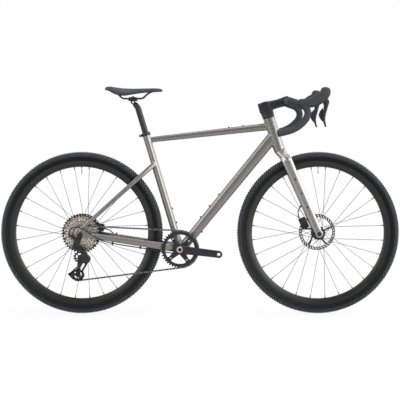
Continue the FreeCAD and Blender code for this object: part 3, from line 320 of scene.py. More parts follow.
def scuff_group():
    """Roughness that varies with handling: rubbed patches and thin streaks."""
    group, start, end = new_group(
        "Scuffed Roughness", (("Roughness", 0.4), ("Amount", 0.1), ("Scale", 14.0)), ("Roughness",))
    rubbed = noise(group, stretched(group, start, (1.0, 6.0, 1.0)), start["Scale"], 6.0)
    centred = math_node(group, "SUBTRACT", rubbed, 0.5)
    swing = math_node(group, "MULTIPLY", centred, start["Amount"])
    change = math_node(group, "MULTIPLY", swing, 2.0)
    feed(group, math_node(group, "ADD", start["Roughness"], change, True), end["Roughness"])
    return group


def pebble_group():
    """Small rounded pebbles with fine pores, for skins and moulded rubber."""
    group, start, end = new_group("Pebbled Skin", (("Scale", 700.0),), ("Height",))
    cells = voronoi(group, start, "SMOOTH_F1")
    pores = noise(group, start["Vector"], start["Scale"], 3.0)
    dome = math_node(group, "SUBTRACT", 1.0, cells["Distance"], True)
    feed(group, math_node(group, "ADD", dome, math_node(group, "MULTIPLY", pores, 0.4)), end["Height"])
    return group


def flake_group():
    """Metallic flakes: tiny cells that are each a little lighter or darker."""
    group, start, end = new_group("Metal Flake", (("Scale", 2600.0),), ("Flake", "Height"))
    split = group.nodes.new("ShaderNodeSeparateColor")
    feed(group, voronoi(group, start)["Color"], split.inputs["Color"])
    feed(group, split.outputs["Red"], end["Flake"])
    feed(group, split.outputs["Green"], end["Height"])
    return group


def brushed_group():
    """Fine parallel brush marks, drawn out across one direction."""
    group, start, end = new_group("Brush Marks", (("Scale", 90.0),), ("Marks",))
    feed(group, noise(group, stretched(group, start, (12.0, 1.0, 12.0)), start["Scale"], 5.0), end["Marks"])
    return group


GROUP_MAKERS = {
    "Tone Drift": tone_drift_group,
    "Scuffed Roughness": scuff_group,
    "Pebbled Skin": pebble_group,
    "Metal Flake": flake_group,
    "Brush Marks": brushed_group,
}


def place_group(tree, name, vector, **values):
    """Places a shared group in a material, with its own values."""
    group = bpy.data.node_groups.get(name) or GROUP_MAKERS[name]()
    node = tree.nodes.new("ShaderNodeGroup")
    node.node_tree = group
    tree.links.new(vector, node.inputs["Vector"])
    for label, value in values.items():
        node.inputs[label.replace("_", " ")].default_value = value
    return node


class Finish:
    """A material under construction: a Principled shader and its Object coordinates."""

    def __init__(self, name, roughness, metallic=0.0):
        self.material = bpy.data.materials.new(name)
        self.material.use_nodes = True
        self.tree = self.material.node_tree
        self.shader = self.tree.nodes["Principled BSDF"]
        self.vector = self.tree.nodes.new("ShaderNodeTexCoord").outputs["Object"]
        self.roughness = roughness
        self.put(Metallic=metallic, Roughness=roughness)

    def put(self, **values):
        """Gives the shader's inputs plain values or links."""
        for label, value in values.items():
            feed(self.tree, value, self.shader.inputs[label.replace("_", " ")])

    def colour(self, colour, amount, patch=9.0, speck=600.0):
        node = place_group(
            self.tree, "Tone Drift", self.vector, Colour=(*colour, 1.0), Amount=amount,
            Patch_Scale=patch, Speck_Scale=speck)
        self.put(Base_Color=node.outputs["Colour"])
        return node.outputs["Colour"]

    def scuffs(self, amount, scale=14.0):
        node = place_group(
            self.tree, "Scuffed Roughness", self.vector, Roughness=self.roughness, Amount=amount, Scale=scale)
        self.put(Roughness=node.outputs["Roughness"])

    def bump(self, height, strength, distance):
        node = self.tree.nodes.new("ShaderNodeBump")
        for label, value in (("Strength", strength), ("Distance", distance), ("Height", height)):
            feed(self.tree, value, node.inputs[label])
        self.put(Normal=node.outputs["Normal"])

    def pebbles(self, scale, strength, distance):
        node = place_group(self.tree, "Pebbled Skin", self.vector, Scale=scale)
        self.bump(node.outputs["Height"], strength, distance)

    def brushed(self, scale, strength, distance):
        node = place_group(self.tree, "Brush Marks", self.vector, Scale=scale)
        self.bump(node.outputs["Marks"], strength, distance)


def metallic_paint(name, colour):
    """Satin paint with metal flakes under a thin clear coat."""
    finish = Finish(name, 0.32, 0.90)
    drift = finish.colour(colour, 0.05, 5.0, 900.0)
    flake = place_group(finish.tree, "Metal Flake", finish.vector)
    mix = finish.tree.nodes.new("ShaderNodeMix")
    mix.data_type = "RGBA"
    mix.blend_type = "MULTIPLY"
    for label, value in (("Factor", 0.09), ("A", drift), ("B", flake.outputs["Flake"])):
        feed(finish.tree, value, mix.inputs[label])
    finish.put(Base_Color=mix.outputs["Result"], Coat_Weight=0.15, Coat_Roughness=0.35)
    finish.scuffs(0.06, 10.0)
    finish.bump(flake.outputs["Height"], 0.02, 0.00003)
    return finish.material


def black_alloy(name, colour, roughness):
    """Anodised alloy: dark, satin, with a faint blasted grain."""
    finish = Finish(name, roughness, 0.35)
    finish.colour(colour, 0.10, 12.0, 1200.0)
    finish.scuffs(0.10)
    finish.bump(noise(finish.tree, finish.vector, 1800.0, 6.0), 0.10, 0.00004)
    return finish.material


def moulded_rubber(name, colour, roughness, pebble, depth, gloss=0.35):
    """Rubber or plastic with the pebble of its mould."""
    finish = Finish(name, roughness)
    finish.colour(colour, 0.12, 16.0, 420.0)
    finish.scuffs(0.10, 20.0)
    finish.pebbles(pebble, 0.5, depth)
    finish.put(Specular_IOR_Level=gloss)
    return finish.material


def bright_metal(name, colour, roughness, marks):
    """Bare metal with fine brush marks."""
    finish = Finish(name, roughness, 1.0)
    finish.colour(colour, 0.10, 20.0, 500.0)
    finish.scuffs(0.12, 24.0)
    finish.brushed(marks, 0.12, 0.00005)
    return finish.material


def plated_steel(name, colour):
    """Plated sprockets, speckled light and dark in their colour: painted glints and painted shade for the
    light on their teeth and the shadows between them.
    """
    finish = Finish(name, 0.34, 1.0)
    # The strong speckle is painted light and shade among the teeth, not a mark on the metal.
    finish.colour(colour, 0.62, 60.0, 240.0)
    finish.scuffs(0.25, 60.0)
    finish.brushed(45.0, 0.15, 0.00005)
    return finish.material


def saddle_skin(name, colour):
    """Smooth synthetic leather with a fine pebble."""
    finish = Finish(name, 0.55)
    finish.put(Specular_IOR_Level=0.3)
    finish.colour(colour, 0.10, 12.0, 300.0)
    finish.scuffs(0.08, 18.0)
    finish.pebbles(1100.0, 0.12, 0.00008)
    return finish.material


# How a finish is made, its own colour or one of the scene's, a gain on that, and the maker's other values
FINISHES = {
    "frame_paint": (metallic_paint, "frame", 1.0),
    "fork_paint": (metallic_paint, "fork", 1.0),
    "black_alloy": (black_alloy, "trim", 1.0, 0.42),
    "crank_black": (black_alloy, "trim", 1.0, 0.36),
    "rim_black": (black_alloy, (0.010, 0.0096, 0.0088), 1.0, 0.36),
    "black_plastic": (moulded_rubber, "trim", 1.0, 0.50, 1500.0, 0.00006),
    "tyre": (moulded_rubber, "rubber", 0.30, 0.56, 520.0, 0.00008, 0.12),
    "tread": (moulded_rubber, "rubber", 3.8, 0.82, 420.0, 0.00020),
    "tape": (moulded_rubber, "rubber", 1.0, 0.66, 430.0, 0.00030),
    "hood_rubber": (moulded_rubber, "rubber", 1.0, 0.62, 640.0, 0.00016),
    "hose": (moulded_rubber, "trim", 1.0, 0.38, 900.0, 0.00004),
    "pad": (moulded_rubber, (0.10, 0.085, 0.07), 1.0, 0.8, 700.0, 0.0003),
    "saddle_skin": (saddle_skin, "saddle", 1.0),
    "steel": (bright_metal, "steel", 1.0, 0.34, 90.0),
    "rotor_steel": (bright_metal, "steel", 0.24, 0.36, 90.0),
    "dark_steel": (bright_metal, (0.045, 0.045, 0.044), 1.0, 0.40, 60.0),
    "spoke": (bright_metal, (0.085, 0.085, 0.083), 1.0, 0.40, 60.0),
    "link_grey": (bright_metal, (0.15, 0.148, 0.142), 1.0, 0.36, 60.0),
    "brass": (bright_metal, "brass", 1.0, 0.30, 80.0),
    "bare_alloy": (plated_steel, "sprockets", 1.0),
    # Every other sprocket is darker: painted shade for the shadows between the cogs.
    "shaded_alloy": (plated_steel, "sprockets", 0.55),
}


def make_finish(name):
    """Builds the named finish from the scene's colours."""
    maker, colour, gain, *values = FINISHES[name]
    if isinstance(colour, str):
        colour = getattr(bpy.context.scene.bicycle_colours, colour)
    return maker("bicycle_" + name, tuple(gain * value for value in colour), *values)


def finish_for(name):
    return bpy.data.materials.get("bicycle_" + name) or make_finish(name)


# Shaping

def frame_at(centre, along, side=None):
    """A matrix whose Z runs along a direction, and Y along the side direction as nearly as it can."""
    z = Vector(along).normalized()
    if side is None:
        side = Z_AXIS if abs(z.y) > 0.9 else Y_AXIS
    y = (side - z * side.dot(z)).normalized()
    turn = Matrix((y.cross(z), y, z)).transposed().to_4x4()
    return Matrix.Translation(centre) @ turn


def section(bm, centre, along, depth, width, power=2.0, sides=32, side=None):
    """A ring of edges across a direction: an oval that grows squarer with its power."""
    ring = bmesh.ops.create_circle(bm, segments=sides, radius=1.0)["verts"]
    for vert in ring:
        for axis, half in ((0, depth / 2), (1, width / 2)):
            reach = vert.co[axis]
            vert.co[axis] = math.copysign(abs(reach) ** (2 / power), reach) * half
    bmesh.ops.transform(bm, matrix=frame_at(centre, along, side), verts=ring)
    return ring


def ring_edges(ring):
    members = set(ring)
    edges = (edge for vert in ring for edge in vert.link_edges if edge.other_vert(vert) in members)
    return list(dict.fromkeys(edges))


def loft(bm, rings):
    """A skin through rings of edges, closed at both ends."""
    for low, high in zip(rings, rings[1:]):
        bmesh.ops.bridge_loops(bm, edges=ring_edges(low) + ring_edges(high))
    for ring in (rings[0], rings[-1]):
        bmesh.ops.edgeloop_fill(bm, edges=ring_edges(ring))


def eased(stations, steps):
    """More stations on a smooth curve through the given rows of numbers."""
    rows = [Vector(row) for row in stations]
    smooth = []
    for i in range(len(rows) - 1):
        low, high = rows[i], rows[i + 1]
        out = (high - rows[max(i - 1, 0)]) / 2
        back = (rows[min(i + 2, len(rows) - 1)] - low) / 2
        for step in range(steps):
            t = step / steps
            smooth.append(
                low * (2 * t**3 - 3 * t**2 + 1) + out * (t**3 - 2 * t**2 + t)
                + high * (3 * t**2 - 2 * t**3) + back * (t**3 - t**2))
    smooth.append(rows[-1])
    return smooth


def tube(bm, start, end, first, last, power=2.0, sides=40):
    """A straight tube that tapers from one oval to another."""
    along = end - start
    loft(bm, [section(bm, start, along, *first, power, sides), section(bm, end, along, *last, power, sides)])


def rod(bm, start, end, radius, end_radius=None, sides=24):
    """A round bar or cone between two points, closed at its ends."""
    along = end - start
    made = bmesh.ops.create_cone(
        bm, cap_ends=True, segments=sides, radius1=radius,
        radius2=radius if end_radius is None else end_radius, depth=along.length,
        matrix=frame_at((start + end) / 2, along))
    return made["verts"]


def rod_y(bm, centre, radius, y0, y1, sides=24):
    return rod(bm, point(centre.x, y0, centre.z), point(centre.x, y1, centre.z), radius, None, sides)


def turned(bm, centre, profile, segments, closed=False, axis=Y_AXIS):
    """A shape turned about an axis through centre, from (radius, distance along) points."""
    across = frame_at(centre, axis).to_3x3() @ X_AXIS
    verts = [bm.verts.new(centre + across * radius + axis * along) for radius, along in profile]
    pairs = list(zip(verts, verts[1:]))
    if closed:
        pairs.append((verts[-1], verts[0]))
    edges = [bm.edges.new(pair) for pair in pairs]
    bmesh.ops.spin(
        bm, geom=verts + edges, cent=centre, axis=axis, angle=math.tau, steps=segments, use_merge=True)


def repeat_round(bm, geom, centre, count):
    """Copies some geometry round a Y axis until there are count of it."""
    bmesh.ops.spin(
        bm, geom=geom, cent=centre, axis=Y_AXIS, angle=math.tau * (count - 1) / count, steps=count - 1,
        use_duplicate=True)


def geometry_of(verts):
    """Vertices with the edges and faces that they bound."""
    edges = (edge for vert in verts for edge in vert.link_edges)
    faces = (face for vert in verts for face in vert.link_faces)
    return list(dict.fromkeys([*verts, *edges, *faces]))


def verts_in(items):
    return [item for item in items if isinstance(item, bmesh.types.BMVert)]


def hull(bm, verts):
    """Wraps vertices in one convex skin with flat faces."""
    made = bmesh.ops.convex_hull(bm, input=verts, use_existing_faces=False)
    loose = dict.fromkeys(verts_in(made["geom_interior"] + made["geom_unused"]))
    bmesh.ops.delete(bm, geom=list(loose), context="VERTS")


def append(bm, other):
    """Adds a finished bmesh to another."""
    mesh = bpy.data.meshes.new("part")
    other.to_mesh(mesh)
    other.free()
    bm.from_mesh(mesh)
    bpy.data.meshes.remove(mesh)


def arm(bm, a, radius_a, b, radius_b, y0, y1, ease=1.0, sides=20):
    """A flat arm with two round ends in the side view and eased edges."""
    part = bmesh.new()
    ends = rod_y(part, a, radius_a, y0, y1, sides) + rod_y(part, b, radius_b, y0, y1, sides)
    bmesh.ops.delete(part, geom=list(part.faces), context="FACES_ONLY")
    hull(part, ends)
    bmesh.ops.dissolve_limit(part, angle_limit=math.radians(2), verts=part.verts, edges=part.edges)
    if ease:
        ease_edges(part, ease)
    append(bm, part)


def ease_edges(bm, width, segments=2):
    """Rounds the sharp edges."""
    sharp = math.radians(40.0)
    edges = [edge for edge in bm.edges if len(edge.link_faces) == 2 and edge.calc_face_angle() > sharp]
    bmesh.ops.bevel(
        bm, geom=edges, offset=width, offset_type="OFFSET", segments=segments, profile=0.5,
        affect="EDGES", clamp_overlap=True, material=-1)


def thicken(bm, faces, depth):
    """Gives flat faces a thickness along Y."""
    made = bmesh.ops.extrude_face_region(bm, geom=faces)["geom"]
    bmesh.ops.translate(bm, vec=Y_AXIS * depth, verts=verts_in(made))


def plate(bm, outline, y0, y1, ease=0.0):
    """A flat piece from an outline in the side view."""
    part = bmesh.new()
    face = part.faces.new([part.verts.new(point(p.x, y0, p.z)) for p in outline])
    thicken(part, [face], y1 - y0)
    bmesh.ops.recalc_face_normals(part, faces=part.faces)
    if ease:
        ease_edges(part, ease)
    append(bm, part)


def box(bm, centre, sizes):
    """A block with its sides along the axes."""
    matrix = Matrix.Translation(centre) @ Matrix.Diagonal((*sizes, 1))
    return bmesh.ops.create_cube(bm, size=1.0, matrix=matrix)["verts"]


def bolt(bm, foot, along, radius, height):
    """A round-headed bolt with a socket in its head."""
    part = bmesh.new()
    along = along.normalized()
    rod(part, foot, foot + along * height, radius, 0.82 * radius, 14)
    top = max(part.faces, key=lambda face: face.calc_center_median().dot(along))
    bmesh.ops.inset_region(part, faces=[top], thickness=0.34 * radius)
    bmesh.ops.translate(part, vec=along * (-0.6 * height), verts=top.verts)
    append(bm, part)


def evaluated(holder):
    """An object's shape with its modifiers, as a bmesh."""
    graph = bpy.context.evaluated_depsgraph_get()
    mesh = bpy.data.meshes.new_from_object(holder.evaluated_get(graph))
    bm = bmesh.new()
    bm.from_mesh(mesh)
    bpy.data.meshes.remove(mesh)
    return bm


def spline_mesh(points, radius, resolution=12, sides=4):
    """A bmesh of a smooth spline: a bare line, or a closed tube where it has a radius."""
    data = bpy.data.curves.new("route", "CURVE")
    data.dimensions = "3D"
    data.resolution_u = resolution
    data.bevel_depth = radius
    data.bevel_resolution = sides
    data.use_fill_caps = radius > 0
    spline = data.splines.new("NURBS")
    spline.points.add(len(points) - 1)
    for control, place in zip(spline.points, points):
        control.co = (*place, 1.0)
    spline.order_u = 3
    spline.use_endpoint_u = True
    holder = bpy.data.objects.new("route", data)
    bpy.context.collection.objects.link(holder)
    bm = evaluated(holder)
    bpy.data.objects.remove(holder)
    bpy.data.curves.remove(data)
    return bm


def scratch_object(bm, name):
    mesh = bpy.data.meshes.new(name)
    bmesh.ops.recalc_face_normals(bm, faces=bm.faces)
    bm.to_mesh(mesh)
    bm.free()
    holder = bpy.data.objects.new(name, mesh)
    bpy.context.collection.objects.link(holder)
    return holder


def modify(holder, kind, **values):
    modifier = holder.modifiers.new(kind.lower(), kind)
    for name, value in values.items():
        setattr(modifier, name, value)


def welded(bm, voxel, smooth, cuts=(), bores=()):
    """One skin over overlapping shapes, eased by turns in and out so that it keeps its size.

    Cuts come before the easing, and bores after it.
    """
    holder = scratch_object(bm, "weld")
    cutters = []

    def cut(tools):
        for tool in tools:
            cutters.append(scratch_object(tool, "tool"))
            modify(holder, "BOOLEAN", operation="DIFFERENCE", solver="EXACT", object=cutters[-1])

    for tools in [cuts, ()] if cuts else [()]:
        modify(holder, "REMESH", mode="VOXEL", voxel_size=voxel)
        cut(tools)
    for factor in (0.5, -0.52) * smooth:
        modify(holder, "SMOOTH", factor=factor, iterations=1)
    cut(bores)
    skin = evaluated(holder)
    for spare in [holder] + cutters:
        data = spare.data
        bpy.data.objects.remove(spare)
        bpy.data.meshes.remove(data)
    return skin


def drill(start, end, radius, sides=48):
    """A round tool for a bore."""
    bm = bmesh.new()
    rod(bm, start, end, radius, None, sides)
    return bm


def drill_y(centre, radius, y0, y1, sides=48):
    bm = bmesh.new()
    rod_y(bm, centre, radius, y0, y1, sides)
    return bm


def mirrored(bm):
    """Adds the same shape on the other side of the bicycle."""
    made = bmesh.ops.duplicate(bm, geom=[*bm.verts, *bm.edges, *bm.faces])["geom"]
    bmesh.ops.scale(bm, vec=Vector((1, -1, 1)), verts=verts_in(made))
    faces = [item for item in made if isinstance(item, bmesh.types.BMFace)]
    bmesh.ops.reverse_faces(bm, faces=faces)


def piece(bm, name, body, finish, *nodes, angle=35.0):
    """Brings a shape to metres and makes it a piece on a body, standing for the nodes named."""
    bmesh.ops.scale(bm, vec=Vector((MM, MM, MM)), verts=bm.verts)
    bmesh.ops.remove_doubles(bm, verts=bm.verts, dist=MM * 0.005)
    bmesh.ops.recalc_face_normals(bm, faces=bm.faces)
    mesh = bpy.data.meshes.new(name)
    bm.to_mesh(mesh)
    bm.free()
    mesh.shade_smooth()
    mesh.set_sharp_from_angle(angle=math.radians(angle))
    mesh.materials.append(finish_for(finish))
    made = bpy.data.objects.new(name, mesh)
    bpy.context.collection.objects.link(made)
    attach(made, body)
    if nodes:
        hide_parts(*nodes)
    return made


def dress(node, finish):
    """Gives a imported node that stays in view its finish."""
    for slot in frame["nodes"][node].material_slots:
        slot.material = finish_for(finish)


# Frame

SEATSTAY_TOP = seat(SEATSTAY_HEIGHT)
SEATSTAY_END = REAR_AXLE + point(10, 0, 28)
HANGER_BOLT = REAR_AXLE + point(-13, 0, -31)
TOP_TUBE = (seat(SEAT_TUBE_LENGTH - 30), steer(HEAD_TOP - 38))
DOWN_TUBE = (CRANK_CENTRE - Z_AXIS * 10, steer(HEAD_FOOT + 72))
# Share of the way to the rear axle, sideways place, depth and width
CHAINSTAY = (
    (0.02, 21, 38, 20), (0.18, 37, 33, 15), (0.50, 51, 29, 17), (0.80, 66, 25, 15), (0.955, 75, 21, 8.4))
SEATSTAY = (
    (0.0, 13, 22, 15), (0.20, 37, 20, 15), (0.55, 56, 19, 14), (0.88, 73, 17, 11), (1.0, 75, 16, 8.4))


def stays_and_dropouts(bm, side):
    loft(bm, [
        section(bm, stay(share, side * y), REAR_AXLE - CRANK_CENTRE, depth, width, 3.0)
        for share, y, depth, width in eased(CHAINSTAY, 6)])
    along = SEATSTAY_END - SEATSTAY_TOP
    loft(bm, [
        section(bm, SEATSTAY_TOP.lerp(SEATSTAY_END, share) + Y_AXIS * side * y, along, depth, width, 2.3)
        for share, y, depth, width in eased(SEATSTAY, 6)])
    y0, y1 = span(side, REAR_DROPOUT_Y, REAR_DROPOUT_Y + REAR_DROPOUT_T)
    for end, radius in ((stay(0.90, 0), 11), (SEATSTAY_END, 8.5)):
        arm(bm, REAR_AXLE, 14.5, end, radius, y0, y1, 0)


class BICYCLE_OT_frame(bpy.types.Operator):
    """Welded frame of oval tubes, with its collar, hanger, cups and bottle bolts."""
    bl_idname = "bicycle.frame"
    bl_label = "Frame"

    def execute(self, context):
        bm = bmesh.new()
        head = (HEAD_TUBE_D, HEAD_TUBE_D)
        tube(bm, steer(HEAD_FOOT), steer(HEAD_TOP), head, head, 2.5)
        upright = (SEAT_TUBE_D, SEAT_TUBE_D)
        tube(bm, CRANK_CENTRE, seat(SEAT_TUBE_LENGTH - 6), upright, upright)
        rod_y(bm, CRANK_CENTRE, SHELL_R, -SHELL_HALF, SHELL_HALF, 40)
        tube(bm, *TOP_TUBE, (24, 23), (33, 32), 2.4)
        tube(bm, *DOWN_TUBE, (42, 40), (50, 44), 3.0)
        for side in (1, -1):
            stays_and_dropouts(bm, side)
        bores = [
            drill(seat(280), seat(SEAT_TUBE_LENGTH + 20), 13.7),
            drill(steer(HEAD_FOOT - 5), steer(HEAD_TOP + 5), 22.0),
            drill_y(CRANK_CENTRE, 17.6, -60, 60),
            drill_y(REAR_AXLE, AXLE_R, -90, 90, 24),
        ]
        skin = welded(bm, context.scene.bicycle_detail.frame_voxel, 16, (), bores)
        piece(skin, "frame_skin", "frame", "frame_paint", "head_tube", "seat_tube", "bottom_bracket_shell",
              "top_tube", "down_tube", "chainstays", "seatstays", "dropouts", angle=50.0)
        self.collar()
        self.hanger()
        self.cups()
        self.bottle_bolts()
        dress("headset_bearings", "steel")
        return {"FINISHED"}

    def collar(self):
        bm = bmesh.new()
        foot, top = SEAT_TUBE_LENGTH - 10, SEAT_TUBE_LENGTH + 4
        turned(bm, seat(0), (
            (17.0, foot), (19.6, foot), (20.2, foot + 1), (20.2, top - 2), (19.4, top - 0.5), (15.0, top),
            (13.8, top), (13.8, foot)), 40, True, SEAT_UP)
        for y in (-1, 1):
            lug = bmesh.new()
            ends = (seat(foot + 1.5, 25, 4.5 * y), seat(top - 1.5, 25, 4.5 * y))
            tube(lug, *ends, (13, 7), (13, 7), 4.0, 20)
            ease_edges(lug, 1.0)
            append(bm, lug)
        piece(bm, "seat_collar", "frame", "black_alloy", "seat_clamp")
        bm = bmesh.new()
        middle = (foot + top) / 2
        bolt(bm, seat(middle, 26, -7), -Y_AXIS, 4.2, 4.5)
        rod(bm, seat(middle, 26, -7), seat(middle, 26, 11), 2.5, None, 12)
        rod(bm, seat(middle, 26, 8), seat(middle, 26, 11.5), 4.2, None, 6)
        piece(bm, "seat_collar_bolt", "frame", "steel")

    def hanger(self):
        bm = bmesh.new()
        y0, y1 = span(-1, REAR_DROPOUT_Y + 0.6, REAR_DROPOUT_Y + REAR_DROPOUT_T + 0.4)
        arm(bm, REAR_AXLE + point(-3, 0, -8), 12, HANGER_BOLT, 10.5, y0, y1, 1.2, 28)
        piece(bm, "derailleur_hanger_plate", "frame", "black_alloy", "derailleur_hanger")

    def cups(self):
        bm = bmesh.new()
        turned(bm, CRANK_CENTRE, (
            (12.2, 22), (17.4, 22), (17.4, SHELL_HALF), (21.0, SHELL_HALF), (22.0, 35.2), (22.0, 40.5),
            (20.8, 41.9), (14.0, 41.9), (13.4, 41.2), (12.2, 41.2)), 48, True)
        notch = box(bm, CRANK_CENTRE + point(21.6, 38, 0), (1.6, 5.0, 3.0))
        repeat_round(bm, geometry_of(notch), CRANK_CENTRE, 16)
        mirrored(bm)
        piece(bm, "bearing_cups", "frame", "black_alloy", "bottom_bracket_cups")

    def bottle_bolts(self):
        bm = bmesh.new()
        for (foot, head), seats, radius, height in (
            (TOP_TUBE, ((0.657, 14.9), (0.773, 15.6)), 4.0, 3.6),
            (DOWN_TUBE, ((0.262, 22.3), (0.357, 22.7), (0.457, 23.1), (0.19, -22.0)), 4.4, 4.2),
        ):
            upward = quarter_turn(head - foot).normalized()
            for share, out in seats:
                outward = upward * math.copysign(1.0, out)
                bolt(bm, foot.lerp(head, share) + upward * out, outward, radius, height)
        for height in (113.0, 177.5):
            bolt(bm, seat(height, -16.3), -quarter_turn(SEAT_UP), 4.4, 4.0)
        piece(bm, "bottle_bolts", "frame", "black_alloy")


# Fork

LEG_TOP = steer(HEAD_FOOT - 28, 13)
# Drop below the head tube, place ahead of the axis, depth and width
CROWN = (
    (0.3, 0, HEAD_TUBE_D, HEAD_TUBE_D), (10, 3.9, 51, 57), (22, 8.5, 50, 71), (34, 13.1, 49, 86),
    (46, 17.5, 47.5, 95), (58, 20.5, 45, 92))
# Share of the way to the axle, sideways place, depth and width
LEG = (
    (0.0, 30, 40, 16), (0.07, 36, 46.5, 22), (0.25, 40, 43, 21), (0.6, 46, 39, 19), (0.96, 58.3, 34, 15.8))


class BICYCLE_OT_fork(bpy.types.Operator):
    """Fork with its arched crown, the bosses on its legs and both through axles."""
    bl_idname = "bicycle.fork"
    bl_label = "Fork"

    def execute(self, context):
        along = FRONT_AXLE - LEG_TOP
        bm = bmesh.new()
        for side in (1, -1):
            loft(bm, [
                section(bm, LEG_TOP + along * share + Y_AXIS * side * y, along, depth, width, 2.5)
                for share, y, depth, width in eased(LEG, 8)])
            rod_y(bm, FRONT_AXLE, 17.2, *span(side, FRONT_DROPOUT_Y, FRONT_DROPOUT_Y + 16), 40)
        loft(bm, [
            section(bm, steer(HEAD_FOOT - drop, forward), -STEER_UP, depth, width, 2.5)
            for drop, forward, depth, width in eased(CROWN, 6)])
        arch = drill_y(FRONT_AXLE, WHEEL_R + 6.5, -TYRE_ARCH, TYRE_ARCH, 160)
        bores = [drill_y(FRONT_AXLE, AXLE_R, -90, 90, 24)]
        skin = welded(bm, 1.9, 14, (arch,), bores)
        rod(skin, steer(HEAD_FOOT - 20), steer(HEAD_FOOT + 30), 19.0)
        rod(skin, steer(HEAD_FOOT + 30), steer(STEM_TOP - 1), 14.3)
        piece(skin, "fork_skin", "steering", "fork_paint", "fork", angle=50.0)
        bm = bmesh.new()
        for share in (0.30, 0.48, 0.66):
            out = 40 + 17.1 * max(share - 0.25, 0) + 10.2
            bolt(bm, LEG_TOP + along * share + Y_AXIS * out, Y_AXIS, 4.2, 2.0)
        mirrored(bm)
        piece(bm, "fork_boss_bolts", "steering", "black_alloy")
        for name, axle, body, face in (
            ("front_axle", FRONT_AXLE, "steering", FRONT_DROPOUT_Y + 15.6),
            ("rear_axle", REAR_AXLE, "frame", REAR_DROPOUT_Y + REAR_DROPOUT_T),
        ):
            self.through_axle(name, axle, body, face)
        return {"FINISHED"}

    def through_axle(self, name, axle, body, face):
        bm = bmesh.new()
        turned(bm, axle, (
            (0.0, -face - 3), (5.2, -face - 3), (5.9, -face - 2.2), (5.9, face), (9.0, face),
            (9.0, face + 2.0), (8.0, face + 3.0), (4.2, face + 3.0), (3.6, face - 3.0),
            (0.0, face - 3.0)), 32)
        turned(bm, axle, (
            (6.2, -face - 0.2), (9.6, -face - 0.2), (9.6, -face - 1.6), (8.6, -face - 2.6),
            (6.2, -face - 2.6)), 32, True)
        piece(bm, name + "_shaft", body, "black_alloy", name)


# Wheels

# Radius and sideways place along half of the casing, from the bead to the crown
TYRE_HALF = (
    (RIM_OUTER_R - 7.5, 11.0), (RIM_OUTER_R - 0.5, 13.2), (RIM_OUTER_R + 2.0, 15.4),
    (RIM_OUTER_R + 4.0, 15.6), (RIM_OUTER_R + 5.0, 17.0), (326.0, 19.6), (330.0, 21.4), (334.5, 22.3),
    (339.5, 22.0), (343.5, 20.6), (346.6, 18.2), (349.2, 14.6), (351.2, 9.6), (352.4, 4.8), (352.8, 0.0))
# Sideways place, radius of the foot, lean outwards, length, width, height, share of a step
KNOB_ROWS = (
    (0.0, 352.6, 0.0, 6.4, 5.4, 1.0, 0.0),
    (6.8, 351.8, 10.0, 6.4, 4.6, 1.0, 0.0),
    (12.8, 349.8, 26.0, 6.4, 4.6, 0.95, 0.5),
    (17.4, 346.6, 46.0, 6.4, 5.2, 0.9, 0.0),
    (20.4, 342.2, 62.0, 6.2, 5.0, 0.6, 0.5),
    (22.0, 336.8, 80.0, 5.0, 4.2, 0.3, 0.0),
)


def knob(bm, axle, row, count, height):
    """One tapered tread knob, copied all the way round the tyre."""
    y, radius, lean, length, width, tall, shift = row
    block = bmesh.ops.create_cube(bm, size=1.0)["verts"]
    rise = height * tall
    for vert in block:
        outer = vert.co.x > 0
        taper = 0.74 if outer else 1.0
        vert.co = point(rise if outer else -1.0, vert.co.y * width * taper, vert.co.z * length * taper)
    side = math.copysign(1.0, y)
    matrix = (
        Matrix.Translation(axle) @ Matrix.Rotation(shift * math.tau / count, 4, "Y")
        @ Matrix.Translation(point(radius, y, 0)) @ Matrix.Rotation(side * math.radians(lean), 4, "Z"))
    bmesh.ops.transform(bm, matrix=matrix, verts=block)
    repeat_round(bm, geometry_of(block), axle, count)


def build_tyre(name, axle, body, detail):
    bm = bmesh.new()
    outer = [*TYRE_HALF, *((radius, -y) for radius, y in reversed(TYRE_HALF[:-1]))]
    inner = [(BEAD_R, -11.0), (333.0, -18.5), (346.0, -9.0), (347.5, 0.0), (346.0, 9.0), (333.0, 18.5)]
    turned(bm, axle, outer + inner, 150, True)
    piece(bm, name + "_tyre_casing", body, "tyre", name + "_tyre", angle=30.0)
    bm = bmesh.new()
    for y, *row in KNOB_ROWS:
        for side in (1, -1) if y else (1,):
            knob(bm, axle, (side * y, *row), detail.knobs, detail.knob_height)
    piece(bm, name + "_tyre_knobs", body, "tread", angle=30.0)


def build_rim(name, axle, body):
    bm = bmesh.new()
    half = (
        (RIM_INNER_R, 0.0), (RIM_INNER_R, 4.6), (RIM_INNER_R + 0.8, 6.4), (RIM_INNER_R + 3.0, 7.9),
        (300.0, 10.6), (308.0, 12.6), (313.5, 13.4), (RIM_OUTER_R - 0.5, 13.5), (RIM_OUTER_R, 13.1),
        (RIM_OUTER_R, 11.6), (BEAD_R + 4.0, 11.2), (BEAD_R, 10.9), (BEAD_R, 4.0), (BEAD_R - 2.5, 0.0))
    turned(bm, axle, [*half, *((radius, -y) for radius, y in reversed(half[1:-1]))], 150, True)
    piece(bm, name + "_rim_hoop", body, "rim_black", name + "_rim", angle=30.0)
    bm = bmesh.new()
    top = math.pi / 2
    for start, end, radius, end_radius in (
        (292.0, 286.0, 4.2, 4.0), (288.0, 266.0, 2.9, 2.9), (270.0, 262.0, 3.4, 3.2),
        (263.0, 259.0, 2.4, 1.8),
    ):
        rod(bm, polar(axle, start, top), polar(axle, end, top), radius, end_radius, 16)
    piece(bm, name + "_valve", body, "brass")


